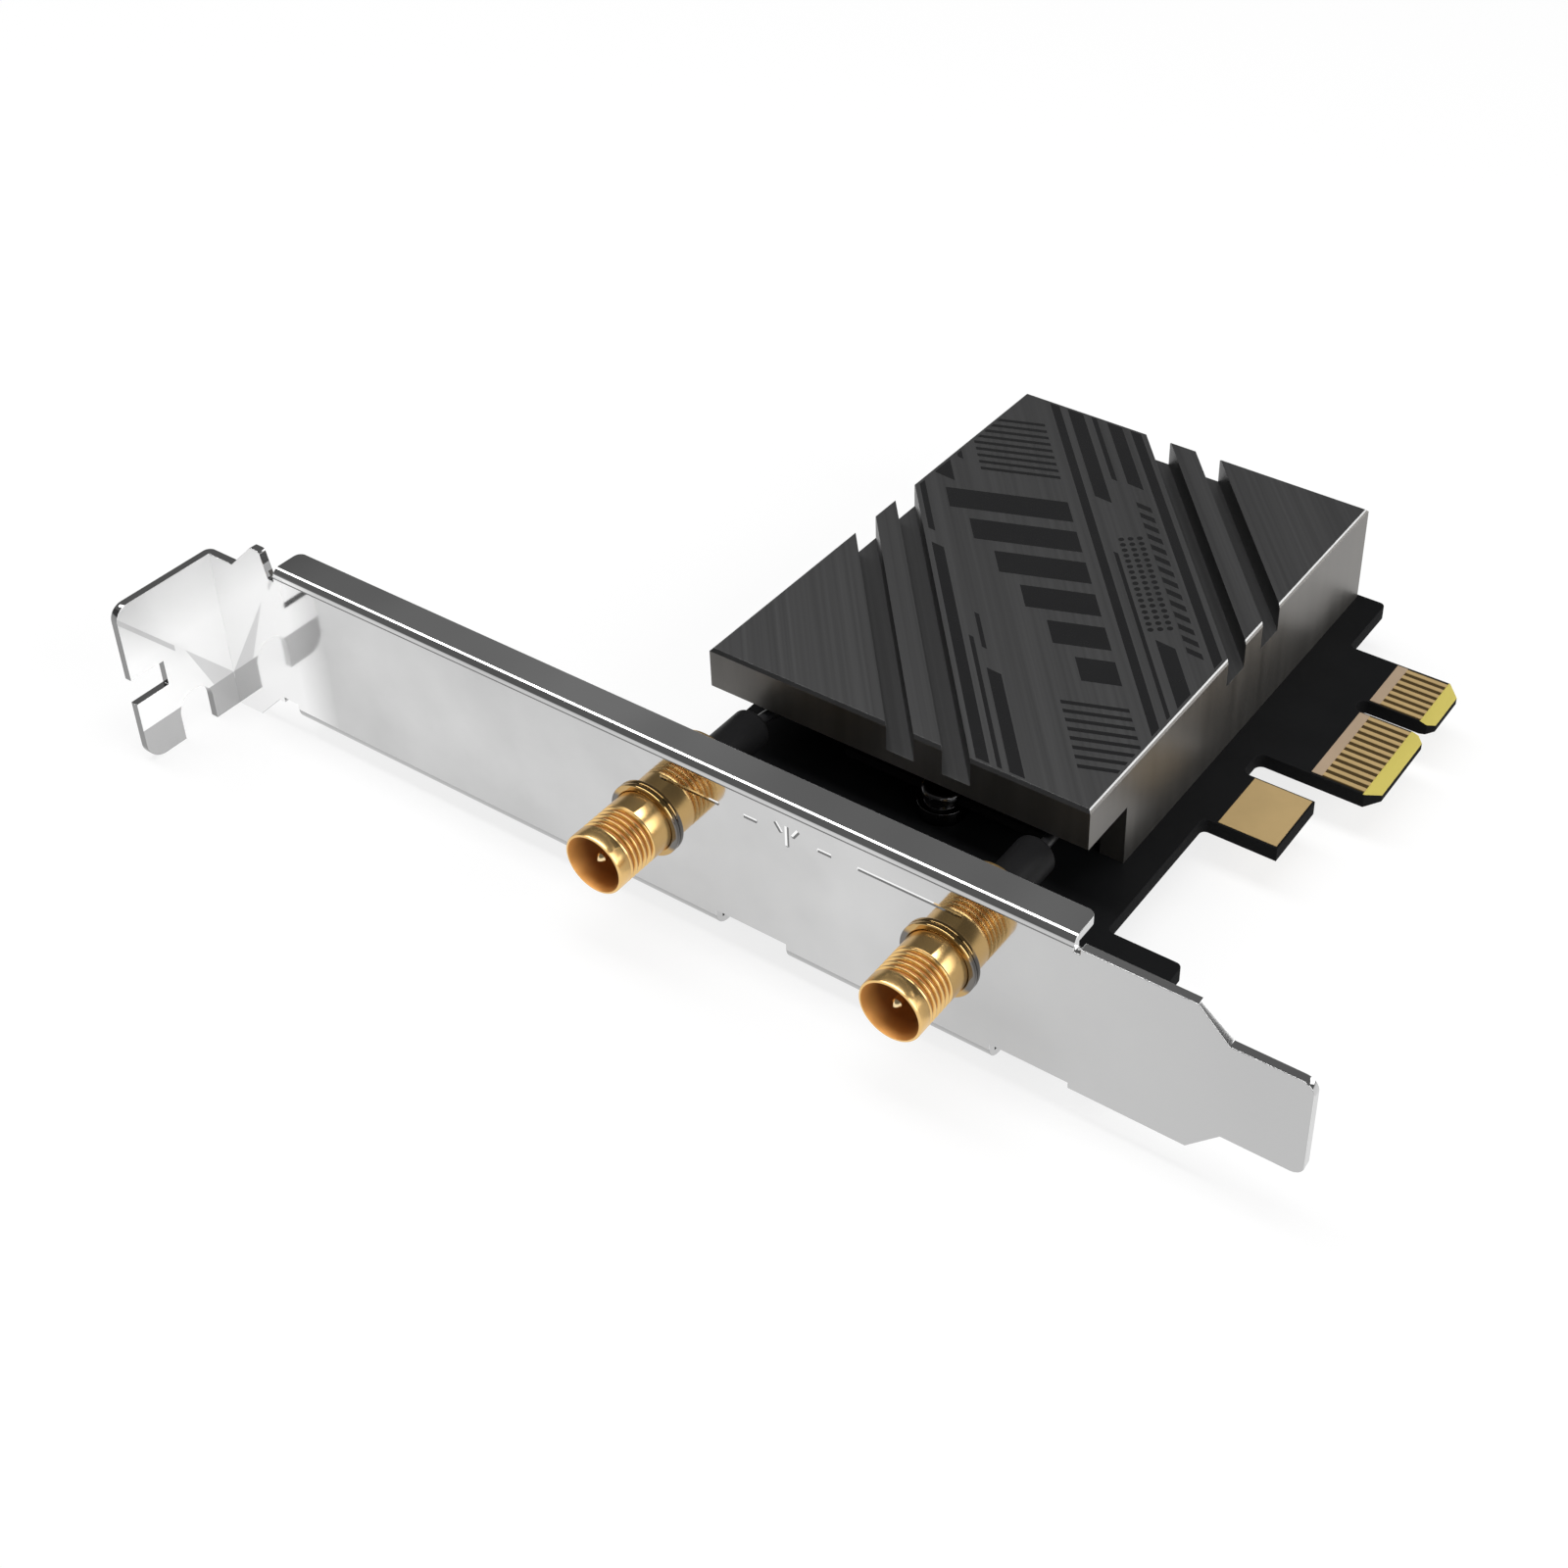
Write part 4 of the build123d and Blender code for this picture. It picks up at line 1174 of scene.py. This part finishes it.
class CARD_OT_stage(bpy.types.Operator):
    """Pale floor, soft light and the camera"""

    bl_idname = "card.stage"
    bl_label = "Stage"

    def execute(self, context):
        stage = context.scene.card_stage
        self.floor(stage, context.scene.card_colours.floor)
        self.sky(context.scene, stage)
        low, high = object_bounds()
        middle = (low + high) / 2.0
        overhead = middle + Vector(stage.key_place)
        straight_down = overhead - Vector((0.0, 0.0, 1.0))
        lamp("key_lamp", overhead, straight_down, stage.key_size, stage.key_power)
        lamp("side_lamp", middle + Vector(stage.side_place), middle, stage.side_size, stage.side_power)
        lamp("rim_lamp", middle + Vector(stage.rim_place), middle, stage.rim_size, stage.rim_power)
        self.camera(context.scene, stage)
        return {"FINISHED"}

    def floor(self, stage, tone):
        """Square floor under the lowest point, near white as seen and mirrored, with its shadow kept."""
        half = stage.floor_size / 2.0
        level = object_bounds()[0].z
        mesh = bpy.data.meshes.new("floor")
        corners = [(x, y, level) for x, y in rectangle(-half, -half, half, half)]
        mesh.from_pydata(corners, [], [(0, 1, 2, 3)])
        material = bpy.data.materials.new("floor")
        material.use_nodes = True
        graph = Graph(material.node_tree)
        graph.tree.nodes.clear()
        path = graph.node("ShaderNodeLightPath")
        seen = graph.get(path, "Is Camera Ray") + graph.get(path, "Is Glossy Ray")
        shown = (seen + graph.get(path, "Is Transmission Ray")).clamped()
        matt = graph.node("ShaderNodeBsdfDiffuse", None, {"Color": rgba(tone)})
        white = graph.node("ShaderNodeEmission", None, {"Color": rgba(1.0), "Strength": 1.0})
        mixed = graph.node("ShaderNodeMixShader", None, {
            0: shown * stage.floor_glow, 1: graph.get(matt), 2: graph.get(white),
        })
        graph.node("ShaderNodeOutputMaterial", None, {"Surface": graph.get(mixed)})
        mesh.materials.append(material)
        put("floor", mesh)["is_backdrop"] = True

    def sky(self, scene, stage):
        """Pale walls near the horizon under a darker ceiling."""
        scene.world = bpy.data.worlds.new("studio")
        scene.world.use_nodes = True
        graph = Graph(scene.world.node_tree)
        graph.tree.nodes.clear()
        height = graph.split(graph.get(graph.node("ShaderNodeTexCoord"), "Generated"))[2]
        rise = ((height - stage.sky_start) / stage.sky_blend).clamped()
        level = stage.sky_low + rise * (stage.sky_high - stage.sky_low)
        back = graph.node("ShaderNodeBackground", None, {"Color": rgba(1.0), "Strength": level})
        graph.node("ShaderNodeOutputWorld", None, {"Surface": graph.get(back)})

    def camera(self, scene, stage):
        """Camera at the photographed viewpoint."""
        view = Vector((
            math.cos(stage.heading) * math.cos(stage.tilt),
            math.sin(stage.heading) * math.cos(stage.tilt),
            -math.sin(stage.tilt),
        ))
        level = Vector((math.sin(stage.heading), -math.cos(stage.heading), 0.0))
        upright = level.cross(view)
        right = level * math.cos(stage.roll) + upright * math.sin(stage.roll)
        up = upright * math.cos(stage.roll) - level * math.sin(stage.roll)
        turn = Matrix((right, up, -view)).transposed()
        camera = bpy.data.cameras.new("camera")
        camera.lens = stage.lens
        camera.sensor_width = PICTURE_WIDTH
        camera.shift_x, camera.shift_y = stage.shift
        camera.clip_start = 0.005
        holder = bpy.data.objects.new("camera", camera)
        holder.matrix_world = Matrix.Translation(Vector(stage.place)) @ turn.to_4x4()
        scene.collection.objects.link(holder)
        scene.camera = holder
        scene.view_settings.view_transform = "Standard"


STEPS = (
    CARD_OT_finishes,
    CARD_OT_bracket,
    CARD_OT_board,
    CARD_OT_heatsink,
    CARD_OT_jacks,
    CARD_OT_screws,
    CARD_OT_module,
    CARD_OT_pigtails,
    CARD_OT_stage,
)


class CARD_PT_sidebar(bpy.types.Panel):
    """Settings and steps of the card's looks"""

    bl_idname = "CARD_PT_sidebar"
    bl_label = "Expansion Card"
    bl_space_type = "VIEW_3D"
    bl_region_type = "UI"
    bl_category = "Card"

    def draw(self, context):
        for step in STEPS:
            self.layout.operator(step.bl_idname)
        for group in (context.scene.card_sizes, context.scene.card_colours, context.scene.card_stage):
            box = self.layout.box()
            for key in group.bl_rna.properties.keys():
                if key not in ("rna_type", "name"):
                    box.prop(group, key)


CLASSES = (CardSizes, CardColours, CardStage, *STEPS, CARD_PT_sidebar)


def register():
    """Adds the classes and the scene's settings."""
    for kind in CLASSES:
        bpy.utils.register_class(kind)
    bpy.types.Scene.card_sizes = PointerProperty(type=CardSizes)
    bpy.types.Scene.card_colours = PointerProperty(type=CardColours)
    bpy.types.Scene.card_stage = PointerProperty(type=CardStage)


def unregister():
    """Removes the scene's settings and the classes."""
    del bpy.types.Scene.card_stage
    del bpy.types.Scene.card_colours
    del bpy.types.Scene.card_sizes
    for kind in reversed(CLASSES):
        bpy.utils.unregister_class(kind)


def main():
    """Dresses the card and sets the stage."""
    register()
    bpy.ops.card.finishes()
    bpy.ops.card.bracket()
    bpy.ops.card.board()
    bpy.ops.card.heatsink()
    bpy.ops.card.jacks()
    bpy.ops.card.screws()
    bpy.ops.card.module()
    bpy.ops.card.pigtails()
    bpy.ops.card.stage()


if __name__ == "__main__":
    main()
